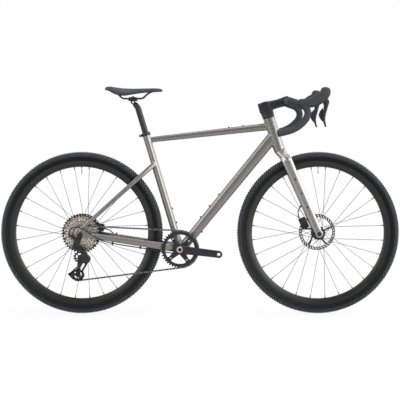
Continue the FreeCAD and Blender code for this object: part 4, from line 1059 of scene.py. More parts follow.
def build_spokes(name, axle, body, flanges):
    bm = bmesh.new()
    nipples = bmesh.new()
    per_flange = SPOKES // 2
    for i in range(SPOKES):
        out = 1 if i % 2 == 0 else -1
        leads = (i // 2) % 2 == 0
        side = 3.4 * out if leads else -2.5 * out
        rim_angle = math.tau * (i + 0.5) / SPOKES
        hub_angle = rim_angle + (2 if leads else -2) * math.tau / per_flange
        flange_y = flanges[0] if out > 0 else flanges[1]
        start = polar(axle, FLANGE_R - 3, hub_angle, flange_y + side)
        end = polar(axle, RIM_INNER_R + 1, rim_angle, 3.0 * out)
        rod(bm, start, end, SPOKE_R, None, 8)
        rod(bm, start, point(start.x, flange_y - math.copysign(2.4, side), start.z), 1.05, None, 8)
        rod(nipples, end, end.lerp(start, NIPPLE_LENGTH / (end - start).length), 2.3, 1.7, 8)
    piece(bm, name + "_spoke_set", body, "spoke", name + "_spokes")
    piece(nipples, name + "_nipples", body, "black_alloy")


def flange(y):
    """The rim of a hub's flange, as part of a turned profile."""
    return ((FLANGE_R - 0.8, y - 1.5), (FLANGE_R, y - 0.7), (FLANGE_R, y + 0.7), (FLANGE_R - 0.8, y + 1.5))


def build_hub(name, axle, body, flanges, ends):
    left, right = flanges
    bm = bmesh.new()
    turned(bm, axle, (
        (6.3, ends[1]), (11.4, ends[1]), (12.0, ends[1] + 0.8), (12.4, right - 3),
        (FLANGE_R - 8, right - 1.6), *flange(right), (20, right + 1.8), (15.5, right + 6), (14, right + 12),
        (14, left - 12), (15.5, left - 6), (20, left - 1.8), *flange(left), (19, left + 2), (17, left + 4),
        (17, ends[0] - 1), (16, ends[0]), (6.3, ends[0])), 48, True)
    piece(bm, name + "_hub_shell", body, "black_alloy", name + "_hub")


def build_rotor(name, axle, body, y, slots):
    """A slotted steel ring on a black carrier with swept arms."""
    bm = bmesh.new()
    radii = (ROTOR_R - 14.0, ROTOR_R - 11.0, ROTOR_R - 7.2, ROTOR_R - 3.2, ROTOR_R)
    verts = [bm.verts.new(axle + point(radius, y - ROTOR_T / 2, 0)) for radius in radii]
    edges = [bm.edges.new(pair) for pair in zip(verts, verts[1:])]
    steps = 3 * slots
    bmesh.ops.spin(
        bm, geom=verts + edges, cent=axle, axis=Y_AXIS, angle=math.tau, steps=steps, use_merge=True)
    holes = []
    for face in bm.faces:
        centre = face.calc_center_median() - axle
        reach = math.hypot(centre.x, centre.z)
        step = int(steps * (math.atan2(centre.z, centre.x) % math.tau) / math.tau)
        if radii[1] < reach < radii[3] and step % 3 == 0:
            holes.append(face)
    bmesh.ops.delete(bm, geom=holes, context="FACES")
    lean = 0.16
    for vert in bm.verts:
        out = vert.co - axle
        reach = math.hypot(out.x, out.z)
        angle = math.atan2(out.z, out.x) + lean * (reach - radii[0]) / (radii[-1] - radii[0])
        vert.co = polar(axle, reach, angle, vert.co.y)
    thicken(bm, list(bm.faces), ROTOR_T)
    piece(bm, name + "_rotor_ring", body, "rotor_steel", name + "_rotor", angle=30.0)
    bm = bmesh.new()
    turned(bm, axle, (
        (17.2, y - 2.2), (23.0, y - 2.2), (24.5, y - 1.2), (24.5, y + 1.6), (23.0, y + 2.6), (17.2, y + 2.6)),
        40, True)
    for i in range(ROTOR_ARMS):
        turn = math.tau * i / ROTOR_ARMS
        knee = polar(axle, 44, turn + 0.30)
        arm(bm, polar(axle, 22, turn), 5.5, knee, 3.6, y - 1.3, y + 1.3, 0.5, 14)
        arm(bm, knee, 3.6, polar(axle, ROTOR_R - 12.5, turn + 0.36), 4.2, y - 0.8, y + 0.8, 0.3, 14)
        rod_y(bm, polar(axle, ROTOR_R - 31.0, turn + 0.32), 2.6, y - 1.55, y + 1.55, 12)
    piece(bm, name + "_rotor_carrier", body, "black_alloy")


class BICYCLE_OT_wheels(bpy.types.Operator):
    """Both wheels: knobbly tyre, rim, valve, spokes, hub and brake rotor."""
    bl_idname = "bicycle.wheels"
    bl_label = "Wheels"

    def execute(self, context):
        detail = context.scene.bicycle_detail
        for name, axle, flanges, ends, rotor_y in (
            ("front", FRONT_AXLE, (24.0, -33.0), (45.0, -49.0), FRONT_ROTOR_Y),
            ("rear", REAR_AXLE, (33.0, -20.0), (62.0, -26.5), REAR_ROTOR_Y),
        ):
            body = name + "_wheel"
            build_tyre(name, axle, body, detail)
            build_rim(name, axle, body)
            build_spokes(name, axle, body, flanges)
            build_hub(name, axle, body, flanges, ends)
            build_rotor(name, axle, body, rotor_y, detail.rotor_slots)
        return {"FINISHED"}


# Drivetrain

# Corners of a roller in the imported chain, and how far a seated pin may lie from the pitch circle
ROLLER_CORNERS = 6
PIN_SLACK = 0.3
# Roots of the teeth below the pitch circle, and the band under the roots
TOOTH_ROOT = 4.0
ROOT_BAND = 1.6
SPROCKET_T = 1.6
SPROCKET_BORE = 17.6


def chain_pins():
    """The chain's pins in order from the foremost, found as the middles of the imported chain's rollers."""
    bm = bmesh.new()
    bm.from_mesh(frame["nodes"]["chain"].data)
    bmesh.ops.remove_doubles(bm, verts=bm.verts, dist=1e-7)
    seen = set()
    middles = []
    for first in bm.verts:
        if first in seen:
            continue
        seen.add(first)
        island = [first]
        for vert in island:
            for edge in vert.link_edges:
                other = edge.other_vert(vert)
                if other not in seen:
                    seen.add(other)
                    island.append(other)
        if len(island) == ROLLER_CORNERS:
            middles.append(sum((vert.co for vert in island), Vector()) / len(island) / MM)
    bm.free()
    middles.sort(key=lambda pin: (round(pin.x, 2), round(pin.z, 2)))
    pins = [middles.pop()]
    while middles:
        nearest = min(middles, key=lambda pin: (round((pin - pins[-1]).length, 1), pin.z))
        middles.remove(nearest)
        pins.append(nearest)
    return pins


def gap_angle(centre, teeth):
    """The angle of a chain pin that sits on a wheel's pitch circle."""
    radius = pitch_radius(teeth)
    on = [p for p in chain_pins() if abs(math.hypot(p.x - centre.x, p.z - centre.z) - radius) < PIN_SLACK]
    if not on:
        raise RuntimeError("no chain pin lies on a wheel of %d teeth" % teeth)
    pin = on[len(on) // 2]
    return math.atan2(pin.z - centre.z, pin.x - centre.x)


def toothed_ring(bm, centre, teeth, phase, y, thickness, inner, tip=3.2, windows=None):
    """A flat toothed ring, its tooth gaps lined up with a pin, with windows between two radii."""
    part = bmesh.new()
    step = math.tau / teeth
    root = pitch_radius(teeth) - TOOTH_ROOT
    top = pitch_radius(teeth) + tip
    middle = phase + step / 2

    def patch(corners):
        """A face from radii and shares of a tooth's step, copied all the way round."""
        face = part.faces.new([
            part.verts.new(polar(centre, radius, middle + share * step, y - thickness / 2))
            for radius, share in corners])
        repeat_round(part, geometry_of(face.verts), centre, teeth)

    half_tooth = (
        (root, -0.50), (root + 0.5, -0.36), (root + 2.6, -0.27), (top - 1.0, -0.16), (top, -0.08))
    mirror_half = [(radius, -share) for radius, share in reversed(half_tooth)]
    patch([*half_tooth, *mirror_half, (root - ROOT_BAND, 0.5), (root - ROOT_BAND, -0.5)])
    bands = [root - ROOT_BAND, *(windows[1:] if windows else ()), inner]
    for high, low in zip(bands, bands[1:]):
        patch([(high, -0.5), (high, 0.5), (low, 0.5), (low, -0.5)])
    bmesh.ops.remove_doubles(part, verts=part.verts, dist=0.001)
    if windows:
        every, high, low = windows
        ring = []
        for face in part.faces:
            spot = face.calc_center_median() - centre
            turn = (math.atan2(spot.z, spot.x) - middle) % math.tau
            number = round(turn / step) % teeth
            if low < math.hypot(spot.x, spot.z) < high and number % every != every - 1:
                ring.append(face)
        bmesh.ops.delete(part, geom=ring, context="FACES")
    thicken(part, list(part.faces), thickness)
    append(bm, part)


class BICYCLE_OT_cassette(bpy.types.Operator):
    """Sprockets with real teeth and windows, and the lockring."""
    bl_idname = "bicycle.cassette"
    bl_label = "Cassette"

    def execute(self, context):
        phase = gap_angle(REAR_AXLE, CHAIN_COG)
        plated = bmesh.new()
        painted_shade = bmesh.new()
        largest = bmesh.new()
        for i, teeth in enumerate(COGS):
            root = pitch_radius(teeth) - TOOTH_ROOT
            windows = (2, root - 3.4, root - 9.6) if teeth > 18 else None
            # Every other plated sprocket takes the darker copy of the finish, as painted shade between the
            # cogs.
            target = largest if teeth == COGS[-1] else (plated, painted_shade)[i % 2]
            y = SMALL_COG_Y + i * COG_SPACING
            toothed_ring(target, REAR_AXLE, teeth, phase, y, SPROCKET_T, SPROCKET_BORE, 3.0, windows)
        for i in range(len(COGS) - 1):
            y0 = SMALL_COG_Y + i * COG_SPACING + SPROCKET_T / 2
            y1 = SMALL_COG_Y + (i + 1) * COG_SPACING - SPROCKET_T / 2
            turned(plated, REAR_AXLE, (
                (SPROCKET_BORE, y0), (19.6, y0), (19.6, y1), (SPROCKET_BORE, y1)), 32, True)
        piece(plated, "plated_sprockets", "cassette", "bare_alloy", "sprockets", angle=30.0)
        piece(painted_shade, "shaded_sprockets", "cassette", "shaded_alloy", angle=30.0)
        piece(largest, "largest_sprocket", "cassette", "black_alloy", angle=30.0)
        outer = SMALL_COG_Y - SPROCKET_T / 2
        bm = bmesh.new()
        turned(bm, REAR_AXLE, (
            (6.2, outer), (17.3, outer), (17.3, -28.0), (6.2, -28.0)), 40, True)
        turned(bm, REAR_AXLE, (
            (11.2, outer - 1.8), (18.2, outer - 1.8), (18.9, outer - 1.2), (18.9, outer - 0.1),
            (11.2, outer - 0.1)), 40, True)
        spline = box(bm, REAR_AXLE + point(11.0, outer - 0.9, 0), (1.6, 1.8, 1.6))
        repeat_round(bm, geometry_of(spline), REAR_AXLE, 12)
        piece(bm, "freehub_lockring", "cassette", "dark_steel", "freehub")
        return {"FINISHED"}


def link_shape(half_y, thickness):
    """A pair of link plates along X between two pins, with the roller and pin at the first."""
    bm = bmesh.new()
    for side in (1, -1):
        y0, y1 = span(side, half_y, half_y + thickness)
        for reach in (0.0, CHAIN_PITCH):
            rod_y(bm, point(reach, 0, 0), 4.1, y0, y1, 10)
        box(bm, point(CHAIN_PITCH / 2, (y0 + y1) / 2, 0), (CHAIN_PITCH - 3.0, thickness * 0.9, 5.6))
    rod_y(bm, Vector(), 3.7, -1.05, 1.05, 10)
    rod_y(bm, Vector(), 1.8, -3.2, 3.2, 8)
    mesh = bpy.data.meshes.new("link")
    bm.to_mesh(mesh)
    bm.free()
    return mesh


class BICYCLE_OT_chain(bpy.types.Operator):
    """Chain of alternate inner and outer links, with rollers and pins."""
    bl_idname = "bicycle.chain"
    bl_label = "Chain"

    def execute(self, context):
        pins = chain_pins()
        shapes = (link_shape(1.1, 0.85), link_shape(2.0, 0.85))
        rows = (bmesh.new(), bmesh.new())
        for i, (a, b) in enumerate(zip(pins, pins[1:] + pins[:1])):
            along = (b - a).normalized()
            turn = Matrix((along, Y_AXIS, along.cross(Y_AXIS))).transposed().to_4x4()
            link = shapes[i % 2].copy()
            link.transform(Matrix.Translation(a) @ turn)
            rows[i % 2].from_mesh(link)
            bpy.data.meshes.remove(link)
        for mesh in shapes:
            bpy.data.meshes.remove(mesh)
        piece(rows[0], "chain_inner_links", "frame", "dark_steel")
        piece(rows[1], "chain_outer_links", "frame", "link_grey", "chain")
        return {"FINISHED"}


SPIDER_ANGLES = tuple(CRANK_ANGLE + math.radians(angle) for angle in (50, 130, 230, 310))
SPIDER_BOLT_R = 55.0
# Share of the way to the pedal eye, inset from the outer face, depth, width and power
CRANK_BLADE = (
    (0.0, 10.5, 38, 18, 2.6), (0.2, 9.6, 36, 16.5, 3.0), (0.5, 8.0, 33.5, 14.5, 3.4),
    (0.97, 6.6, 31.5, 13, 3.4))


def crank_blade(bm, turn, side):
    """A tapered arm out to its pedal eye, whose place it gives back."""
    eye = polar(CRANK_CENTRE, CRANK_LENGTH, turn)
    rings = []
    for share, inset, depth, width, power in eased(CRANK_BLADE, 6):
        centre = CRANK_CENTRE.lerp(eye, share) + Y_AXIS * side * (CRANK_HALF_WIDTH - inset)
        rings.append(section(bm, centre, eye - CRANK_CENTRE, depth, width, power))
    loft(bm, rings)
    rod_y(bm, eye, 15.8, *span(side, CRANK_HALF_WIDTH - 13, CRANK_HALF_WIDTH), 40)
    return eye


class BICYCLE_OT_crankset(bpy.types.Operator):
    """Chainring on its four-armed spider, both crank arms and the hollow spindle."""
    bl_idname = "bicycle.crankset"
    bl_label = "Crankset"

    def execute(self, context):
        self.chainring()
        for name, side, turn, hub_r in (
            ("right", -1, CRANK_ANGLE, 20), ("left", 1, CRANK_ANGLE + math.pi, 18),
        ):
            bm = bmesh.new()
            rod_y(bm, CRANK_CENTRE, hub_r, *span(side, 43.0, 72.5), 48)
            if side < 0:
                self.spider(bm)
            eye = crank_blade(bm, turn, side)
            depth = span(side, 0, 100)
            bores = [drill_y(eye, PEDAL_EYE_R, *depth), drill_y(CRANK_CENTRE, SPINDLE_R, *depth)]
            skin = welded(bm, 1.1, 10, (), bores)
            piece(skin, name + "_crank_arm", "crankset", "crank_black", name + "_crank", angle=50.0)
        bm = bmesh.new()
        turned(bm, CRANK_CENTRE, (
            (9.0, -72.0), (11.9, -72.0), (11.9, 72.0), (9.0, 72.0)), 40, True)
        turned(bm, CRANK_CENTRE, (
            (8.2, -73.6), (12.8, -73.6), (13.6, -72.8), (13.6, -70.5), (8.2, -70.5)), 40, True)
        piece(bm, "hollow_spindle", "crankset", "bare_alloy", "crank_spindle")
        bm = bmesh.new()
        for angle in SPIDER_ANGLES:
            spot = polar(CRANK_CENTRE, SPIDER_BOLT_R, angle)
            bolt(bm, point(spot.x, -56.0, spot.z), -Y_AXIS, 4.6, 2.2)
        bolt(bm, CRANK_CENTRE + point(0, 72.2, 0), Y_AXIS, 9.0, 2.5)
        piece(bm, "crank_bolts", "crankset", "steel")
        return {"FINISHED"}

    def spider(self, bm):
        for angle in SPIDER_ANGLES:
            arm(bm, CRANK_CENTRE, 17, polar(CRANK_CENTRE, SPIDER_BOLT_R, angle), 8.5, -56.0, -50.8, 0)
            arm(bm, CRANK_CENTRE, 16, polar(CRANK_CENTRE, 36, angle), 9, -60.0, -52.0, 0)

    def chainring(self):
        phase = gap_angle(CRANK_CENTRE, RING_TEETH)
        bm = bmesh.new()
        toothed_ring(bm, CRANK_CENTRE, RING_TEETH, phase, RING_Y, 1.9, 64.0, 3.4)
        for angle in SPIDER_ANGLES:
            arm(bm, polar(CRANK_CENTRE, SPIDER_BOLT_R, angle), 8, polar(CRANK_CENTRE, 67, angle), 12,
                RING_Y - 0.9, RING_Y + 0.9, 0)
        piece(bm, "toothed_chainring", "crankset", "black_alloy", "chainring", angle=30.0)


# Derailleur

CHAIN_Y = SMALL_COG_Y + COGS.index(CHAIN_COG) * COG_SPACING
CAGE_OUTER_Y = CHAIN_Y - 4.9
CAGE_INNER_Y = CHAIN_Y + 3.3
CAGE_T = 1.6
LINK_TOP = HANGER_BOLT + point(-10, 0, -24)
LINK_FOOT = CAGE_PIVOT + point(-9, 0, 34)
# Corners of the cage's broad foot, from the tension pulley
CAGE_FOOT = ((-38, 2), (-21, -16), (0, -24), (17, -20), (26, -4), (19, 14), (-2, 20), (-23, 12))


class BICYCLE_OT_derailleur(bpy.types.Operator):
    """Rear derailleur: knuckles, links, cage and two toothed pulleys."""
    bl_idname = "bicycle.derailleur"
    bl_label = "Derailleur"

    def execute(self, context):
        self.knuckles()
        self.cage()
        self.pulleys()
        return {"FINISHED"}

    def knuckles(self):
        face = -REAR_DROPOUT_Y - REAR_DROPOUT_T
        bm = bmesh.new()
        arm(bm, HANGER_BOLT, 12, LINK_TOP, 13, face - 14, face - 0.2, 0)
        arm(bm, HANGER_BOLT, 9, HANGER_BOLT + point(-26, 0, 24), 5.5, face - 10, face - 3, 0)
        rod_y(bm, LINK_TOP, 9, face - 17, face + 3, 32)
        upper = welded(bm, 0.9, 10)
        bm = bmesh.new()
        rod_y(bm, CAGE_PIVOT, 20, face - 8, CAGE_OUTER_Y - 0.4, 48)
        rod_y(bm, CAGE_PIVOT, 15, face - 11, face, 40)
        arm(bm, CAGE_PIVOT, 16, LINK_FOOT, 9, face - 13, CAGE_OUTER_Y - 6, 0)
        rod_y(bm, LINK_FOOT, 8, face - 17, CAGE_OUTER_Y - 3, 32)
        append(upper, welded(bm, 0.9, 10))
        piece(upper, "derailleur_knuckles", "frame", "black_alloy", "derailleur_body", angle=50.0)
        bm = bmesh.new()
        arm(bm, LINK_TOP, 8.5, LINK_FOOT, 7.5, face - 20, face - 15, 1.6, 28)
        inner_top = LINK_TOP + point(4, 0, -2)
        arm(bm, inner_top, 6, LINK_FOOT + point(2, 0, -2), 6, CAGE_OUTER_Y - 6, CAGE_OUTER_Y - 2.4, 0.8, 20)
        rod(bm, inner_top + Y_AXIS * face, inner_top + Y_AXIS * (CAGE_OUTER_Y - 2.5), 4.5)
        piece(bm, "derailleur_links", "frame", "crank_black")
        bm = bmesh.new()
        for spot, radius in ((LINK_TOP, 3.6), (LINK_FOOT, 3.4)):
            bolt(bm, point(spot.x, face - 20, spot.z), -Y_AXIS, radius, 1.6)
        bolt(bm, point(HANGER_BOLT.x, face - 13.5, HANGER_BOLT.z), -Y_AXIS, 7.0, 2.6)
        bolt(bm, point(CAGE_PIVOT.x, face - 10.5, CAGE_PIVOT.z), -Y_AXIS, 6.0, 1.8)
        entry = HANGER_BOLT + point(-26, face - 6.5, 24)
        rod(bm, entry, entry + point(-12, 0, 12), 3.4, 2.8, 16)
        piece(bm, "derailleur_bolts", "frame", "dark_steel")

    def cage(self):
        bm = bmesh.new()
        y0, y1 = CAGE_OUTER_Y, CAGE_OUTER_Y + CAGE_T
        arm(bm, CAGE_PIVOT, 14, GUIDE_PULLEY, 9, y0, y1, 0.4)
        foot = corners_at(TENSION_PULLEY, CAGE_FOOT)
        for spot, after in zip(foot, foot[1:] + foot[:1]):
            arm(bm, spot, 4.2, after, 4.2, y0, y1, 0.4, 14)
        for spot in (foot[0], foot[3], foot[6]):
            arm(bm, TENSION_PULLEY, 7.0, spot, 3.6, y0, y1, 0.4, 14)
        arm(bm, CAGE_PIVOT + point(-11, 0, -8), 5.0, foot[6], 5.0, y0, y1, 0.4, 14)
        arm(bm, CAGE_PIVOT + point(8, 0, -8), 5.0, foot[5], 4.4, y0, y1, 0.4, 14)
        knee = TENSION_PULLEY + point(2, 0, 20)
        y0, y1 = CAGE_INNER_Y, CAGE_INNER_Y + CAGE_T
        arm(bm, GUIDE_PULLEY, 9, knee, 6.5, y0, y1, 0.4)
        arm(bm, knee, 6.5, TENSION_PULLEY, 12, y0, y1, 0.4)
        rod_y(bm, CAGE_PIVOT, 4.9, CAGE_OUTER_Y - 13, CAGE_OUTER_Y)
        piece(bm, "derailleur_cage_plates", "cage", "black_alloy", "derailleur_cage")
        bm = bmesh.new()
        for centre in (GUIDE_PULLEY, TENSION_PULLEY):
            rod_y(bm, centre, 2.9, CAGE_OUTER_Y, CAGE_INNER_Y + CAGE_T, 16)
            bolt(bm, point(centre.x, CAGE_OUTER_Y, centre.z), -Y_AXIS, 4.2, 1.6)
        piece(bm, "pulley_bolts", "cage", "dark_steel")

    def pulleys(self):
        for name, centre, body in (
            ("guide_pulley", GUIDE_PULLEY, "upper_pulley"),
            ("tension_pulley", TENSION_PULLEY, "lower_pulley"),
        ):
            bm = bmesh.new()
            phase = gap_angle(centre, PULLEY_TEETH)
            toothed_ring(bm, centre, PULLEY_TEETH, phase, CHAIN_Y, 2.1, 17.0, 2.6)
            turned(bm, centre, (
                (3.1, CHAIN_Y - 2.6), (8.5, CHAIN_Y - 2.6), (9.2, CHAIN_Y - 1.6), (9.2, CHAIN_Y + 1.6),
                (8.5, CHAIN_Y + 2.6), (3.1, CHAIN_Y + 2.6)), 28, True)
            for i in range(PULLEY_ARMS):
                turn = phase + math.tau * i / PULLEY_ARMS
                rim = polar(centre, 18.5, turn)
                arm(bm, polar(centre, 8, turn), 2.2, rim, 2.6, CHAIN_Y - 1.0, CHAIN_Y + 1.0, 0.3, 10)
            piece(bm, name + "_wheel", body, "black_plastic", name)


# Cockpit

# Share of the way from the steering axis to the bar, depth and width
STEM_BEAM = ((-0.31, 44, 40), (0.0, 45, 41), (0.25, 42, 38), (0.6, 38, 35), (0.95, 42, 41))


def bar_points(side):
    """Control points of one half of the handlebar's line, from the middle out to its end."""
    rows = (
        (0, 30, 0), (0, 110, 0), (1, 168, 0), (8, 194, -3), (34, 200, -12), (58, 204, -20), (73, 207, -35),
        (79, 210, -54), (73, 213, -75), (57, 217, -94), (36, 222, -112), (8, 228, -126), (-21, 235, -134),
        (-46, 238, -139))
    return [BAR_CENTRE + point(x, side * y, z) for x, y, z in rows]


def line_points(points):
    """Evenly read points along a smooth spline, in order."""
    bm = spline_mesh(points, 0.0, 24)
    bm.verts.ensure_lookup_table()
    line = [vert.co.copy() for vert in bm.verts]
    bm.free()
    return line


def wound_tape(bm, line, pitch):
    """Tape wound round a line: a tube whose surface steps up along a helix."""
    sides = 26
    rings = []
    travelled = 0.0
    last = line[0]
    for i, place in enumerate(line):
        travelled += (place - last).length
        last = place
        along = line[min(i + 1, len(line) - 1)] - line[max(i - 1, 0)]
        ring = section(bm, place, along, 2 * TAPE_R, 2 * TAPE_R, 2.0, sides, Vector((0.3, 0.1, 0.9)))
        for j, vert in enumerate(ring):
            share = (travelled / pitch + j / sides) % 1.0
            vert.co = place + (vert.co - place) * (TAPE_LOW + TAPE_RISE * share)
        rings.append(ring)
    loft(bm, rings)


class BICYCLE_OT_cockpit(bpy.types.Operator):
    """Headset cover, stem, drop bar with wound tape, and end plugs."""
    bl_idname = "bicycle.cockpit"
    bl_label = "Cockpit"

    def execute(self, context):
        self.stem()
        self.bar(context.scene.bicycle_detail.tape_pitch)
        return {"FINISHED"}

    def stem(self):
        bm = bmesh.new()
        loft(bm, [
            section(bm, steer(HEAD_TOP + 0.4), STEER_UP, 51.5, 51.5, 2.4, 48),
            section(bm, steer(HEAD_TOP + 10), STEER_UP, 53, 48, 2.7, 48),
            section(bm, steer(STEM_FOOT + 0.4), STEER_UP, 56, 44, 3.0, 48)])
        turned(bm, steer(0), (
            (0.0, STEM_TOP + 0.1), (15.3, STEM_TOP + 0.1), (15.3, STEM_TOP + 2.0), (14.0, STEM_TOP + 3.0),
            (0.0, STEM_TOP + 3.0)), 40, False, STEER_UP)
        piece(bm, "spacer_cover", "steering", "black_plastic", "headset_cover")
        bm = bmesh.new()
        root = steer((STEM_FOOT + STEM_TOP) / 2)
        ahead = BAR_CENTRE - root
        loft(bm, [
            section(bm, steer(STEM_FOOT), STEER_UP, 56, 44, 3.4, 48),
            section(bm, steer(STEM_TOP), STEER_UP, 56, 42, 3.4, 48)])
        loft(bm, [
            section(bm, root + ahead * share, ahead, depth, width, 3.2, 48)
            for share, depth, width in eased(STEM_BEAM, 5)])
        rod_y(bm, BAR_CENTRE, 21.6, -22, 22, 64)
        bore = drill_y(BAR_CENTRE, BAR_CLAMP_R + 0.1, -40, 40)
        slot = bmesh.new()
        seam = BAR_CENTRE + ahead.normalized() * 1.6
        tube(slot, seam, seam + ahead.normalized() * 1.4, (120, 120), (120, 120), 2.0, 24)
        skin = welded(bm, 1.1, 12, (), (bore, slot))
        piece(skin, "stem_body", "steering", "black_alloy", "stem", "stem_faceplate", angle=50.0)
        bm = bmesh.new()
        upward = quarter_turn(ahead).normalized()
        for y in (-14, 14):
            for rise in (-17.5, 17.5):
                foot = BAR_CENTRE + ahead.normalized() * 11 + upward * rise + Y_AXIS * y
                bolt(bm, foot, ahead, 3.6, 4.0)
        for height in (STEM_FOOT + 12, STEM_TOP - 10):
            bolt(bm, steer(height, -26.5, 0), -STEER_FORWARD, 4.0, 3.0)
        bolt(bm, steer(STEM_TOP + 2.6), STEER_UP, 5.0, 1.6)
        piece(bm, "stem_bolts", "steering", "dark_steel")

    def bar(self, pitch):
        route = list(reversed(bar_points(1))) + bar_points(-1)
        bm = spline_mesh(route, BAR_R, 12, 6)
        rod_y(bm, BAR_CENTRE, BAR_CLAMP_R, -40, 40, 48)
        for out in (Y_AXIS, -Y_AXIS):
            rod(bm, BAR_CENTRE + out * 40, BAR_CENTRE + out * TAPE_START, BAR_CLAMP_R, 12.0, 48)
        piece(bm, "drop_bar", "steering", "black_alloy", "handlebar")
        bm = bmesh.new()
        plugs = bmesh.new()
        for side in (1, -1):
            line = line_points(bar_points(side))
            wound_tape(bm, [place for place in line if abs(place.y) > TAPE_START], pitch)
            out = (line[-1] - line[-2]).normalized()
            rod(plugs, line[-1] - out * 2, line[-1] + out * 3.4, 14.4, 14.4, 40)
            rod(plugs, line[-1] + out * 3.4, line[-1] + out * 5.0, 14.4, 12.6, 40)
            rod(bm, BAR_CENTRE + Y_AXIS * side * 60, BAR_CENTRE + Y_AXIS * side * 76, 15.3, 15.5, 40)
        piece(bm, "wound_bar_tape", "steering", "tape", "bar_tape", angle=20.0)
        piece(plugs, "end_plugs", "steering", "black_plastic", "bar_end_plugs")


# Place ahead of and above the lever's pin, heading forwards and upwards, depth and width
HOOD = (
    (-97, -15, 1.0, -0.1, 30, 31), (-70, -16, 1.0, 0.0, 37, 33.5), (-42, -13.5, 1.0, 0.15, 44, 35),
    (-10, 3, 0.9, 0.6, 50, 34.5), (10, 20, 0.5, 1.0, 46, 33), (15, 36, 0.15, 1.0, 42, 31),
    (15, 45, 0.05, 1.0, 34, 27), (14, 50, 0.0, 1.0, 16, 14))
LEVER = (
    (6, 4, 0.2, -1.0, 24, 10), (15, -9, 0.1, -1.0, 31, 11), (16, -24, -0.15, -1.0, 22, 11),
    (14, -42, -0.25, -1.0, 16, 11), (10, -62, -0.2, -1.0, 13.5, 10.5), (8, -82, 0.0, -1.0, 11.5, 10),
    (11, -100, 0.22, -1.0, 9.5, 9), (16.5, -117, 0.3, -1.0, 7.0, 7))
# Corners from the lever's pin
LEVER_SLOT = ((-12, 12), (50, 12), (50, -70), (-45, -70))
PADDLE = ((6, -35), (-7, -48), (-15, -66), (-8, -82), (2, -95), (5, -92))


def shaped(bm, centre, stations, power, sides=32):
    """A smooth form through stations that are given from a point."""
    loft(bm, [
        section(bm, centre + point(dx, 0, dz), point(hx, 0, hz), depth, width, power, sides)
        for dx, dz, hx, hz, depth, width in eased(stations, 6)])


class BICYCLE_OT_levers(bpy.types.Operator):
    """Rubber hoods with their brake levers, and the right shift paddle."""
    bl_idname = "bicycle.levers"
    bl_label = "Levers"

    def execute(self, context):
        hoods = bmesh.new()
        for side, name in ((1, "left"), (-1, "right")):
            pin = point(LEVER_PIVOT.x, side * LEVER_PIVOT.y, LEVER_PIVOT.z)
            bm = bmesh.new()
            shaped(bm, pin, HOOD, 2.4)
            slot = bmesh.new()
            plate(slot, corners_at(pin, LEVER_SLOT), pin.y - 6.2, pin.y + 6.2)
            append(hoods, welded(bm, 1.2, 10, (), (slot,)))
            bm = bmesh.new()
            shaped(bm, pin, LEVER, 3.0, 24)
            if side > 0:
                plate(bm, corners_at(pin, PADDLE), pin.y - 3.0, pin.y + 1.0, 1.2)
            body = name + "_lever"
            piece(bm, name + "_lever_blade", body, "crank_black", name + "_brake_lever", angle=45.0)
        piece(hoods, "rubber_hoods", "steering", "hood_rubber", "lever_hoods", angle=50.0)
        bm = bmesh.new()
        for side in (1, -1):
            rod_y(bm, LEVER_PIVOT, 2.5, side * 189, side * 221, 20)
        piece(bm, "lever_pins", "steering", "steel")
        bm = bmesh.new()
        inside = -(LEVER_PIVOT.y - 5.8)
        plate(bm, corners_at(LEVER_PIVOT, PADDLE), inside, inside + 4, 1.2)
        piece(bm, "shift_paddle_blade", "shift_paddle", "black_plastic", "right_shift_paddle")
        return {"FINISHED"}


# Seat

POST_TOP = seat(645.0)
SADDLE_LENGTH = 250.0
SADDLE_WIDTH = 145.0
SADDLE_REAR_X = BARREL.x - 121.0
RAIL_Z = BARREL.z + 15.0
SADDLE_TOP_Z = RAIL_Z + 45.0
RAIL_Y = 22.0
RAIL_R = 3.5
# Shares of the saddle's drop above and below its widest line
CROWN_SHARE = 0.62
SKIRT_SHARE = 0.38
# Share of the length from the rear, share of the width, rise of the top, drop of the skirt
SADDLE = (
    (0.000, 0.40, 1.0, 9.0), (0.030, 0.68, 6.5, 17.0), (0.090, 0.92, 8.0, 25.0), (0.170, 1.00, 5.0, 33.5),
    (0.300, 0.86, 0.5, 34.5), (0.450, 0.56, -1.0, 28.0), (0.650, 0.35, -0.5, 21.0), (0.880, 0.28, 0.5, 18.0),
    (0.970, 0.22, -2.0, 14.0), (1.000, 0.10, -7.0, 7.0))


def saddle_ring(bm, share, width, rise, drop, sides=40):
    """A closed outline across the saddle: crowned on top, drawn in and hollow below."""
    ring = bmesh.ops.create_circle(bm, segments=sides, radius=1.0)["verts"]
    half = SADDLE_WIDTH * width / 2
    brim = SADDLE_TOP_Z + rise - CROWN_SHARE * drop
    for vert in ring:
        across, up = vert.co.x, vert.co.y
        wide = math.copysign(abs(across) ** 0.8, across)
        if up >= 0:
            z = brim + CROWN_SHARE * drop * up ** 0.75
            y = half * wide
        else:
            under = abs(up)
            z = brim - SKIRT_SHARE * drop * min(1.0, 2.4 * under) * (1 - 0.9 * under**2)
            y = half * wide * (1 - 0.10 * under)
        vert.co = point(SADDLE_REAR_X + SADDLE_LENGTH * share, y, z)
    return ring


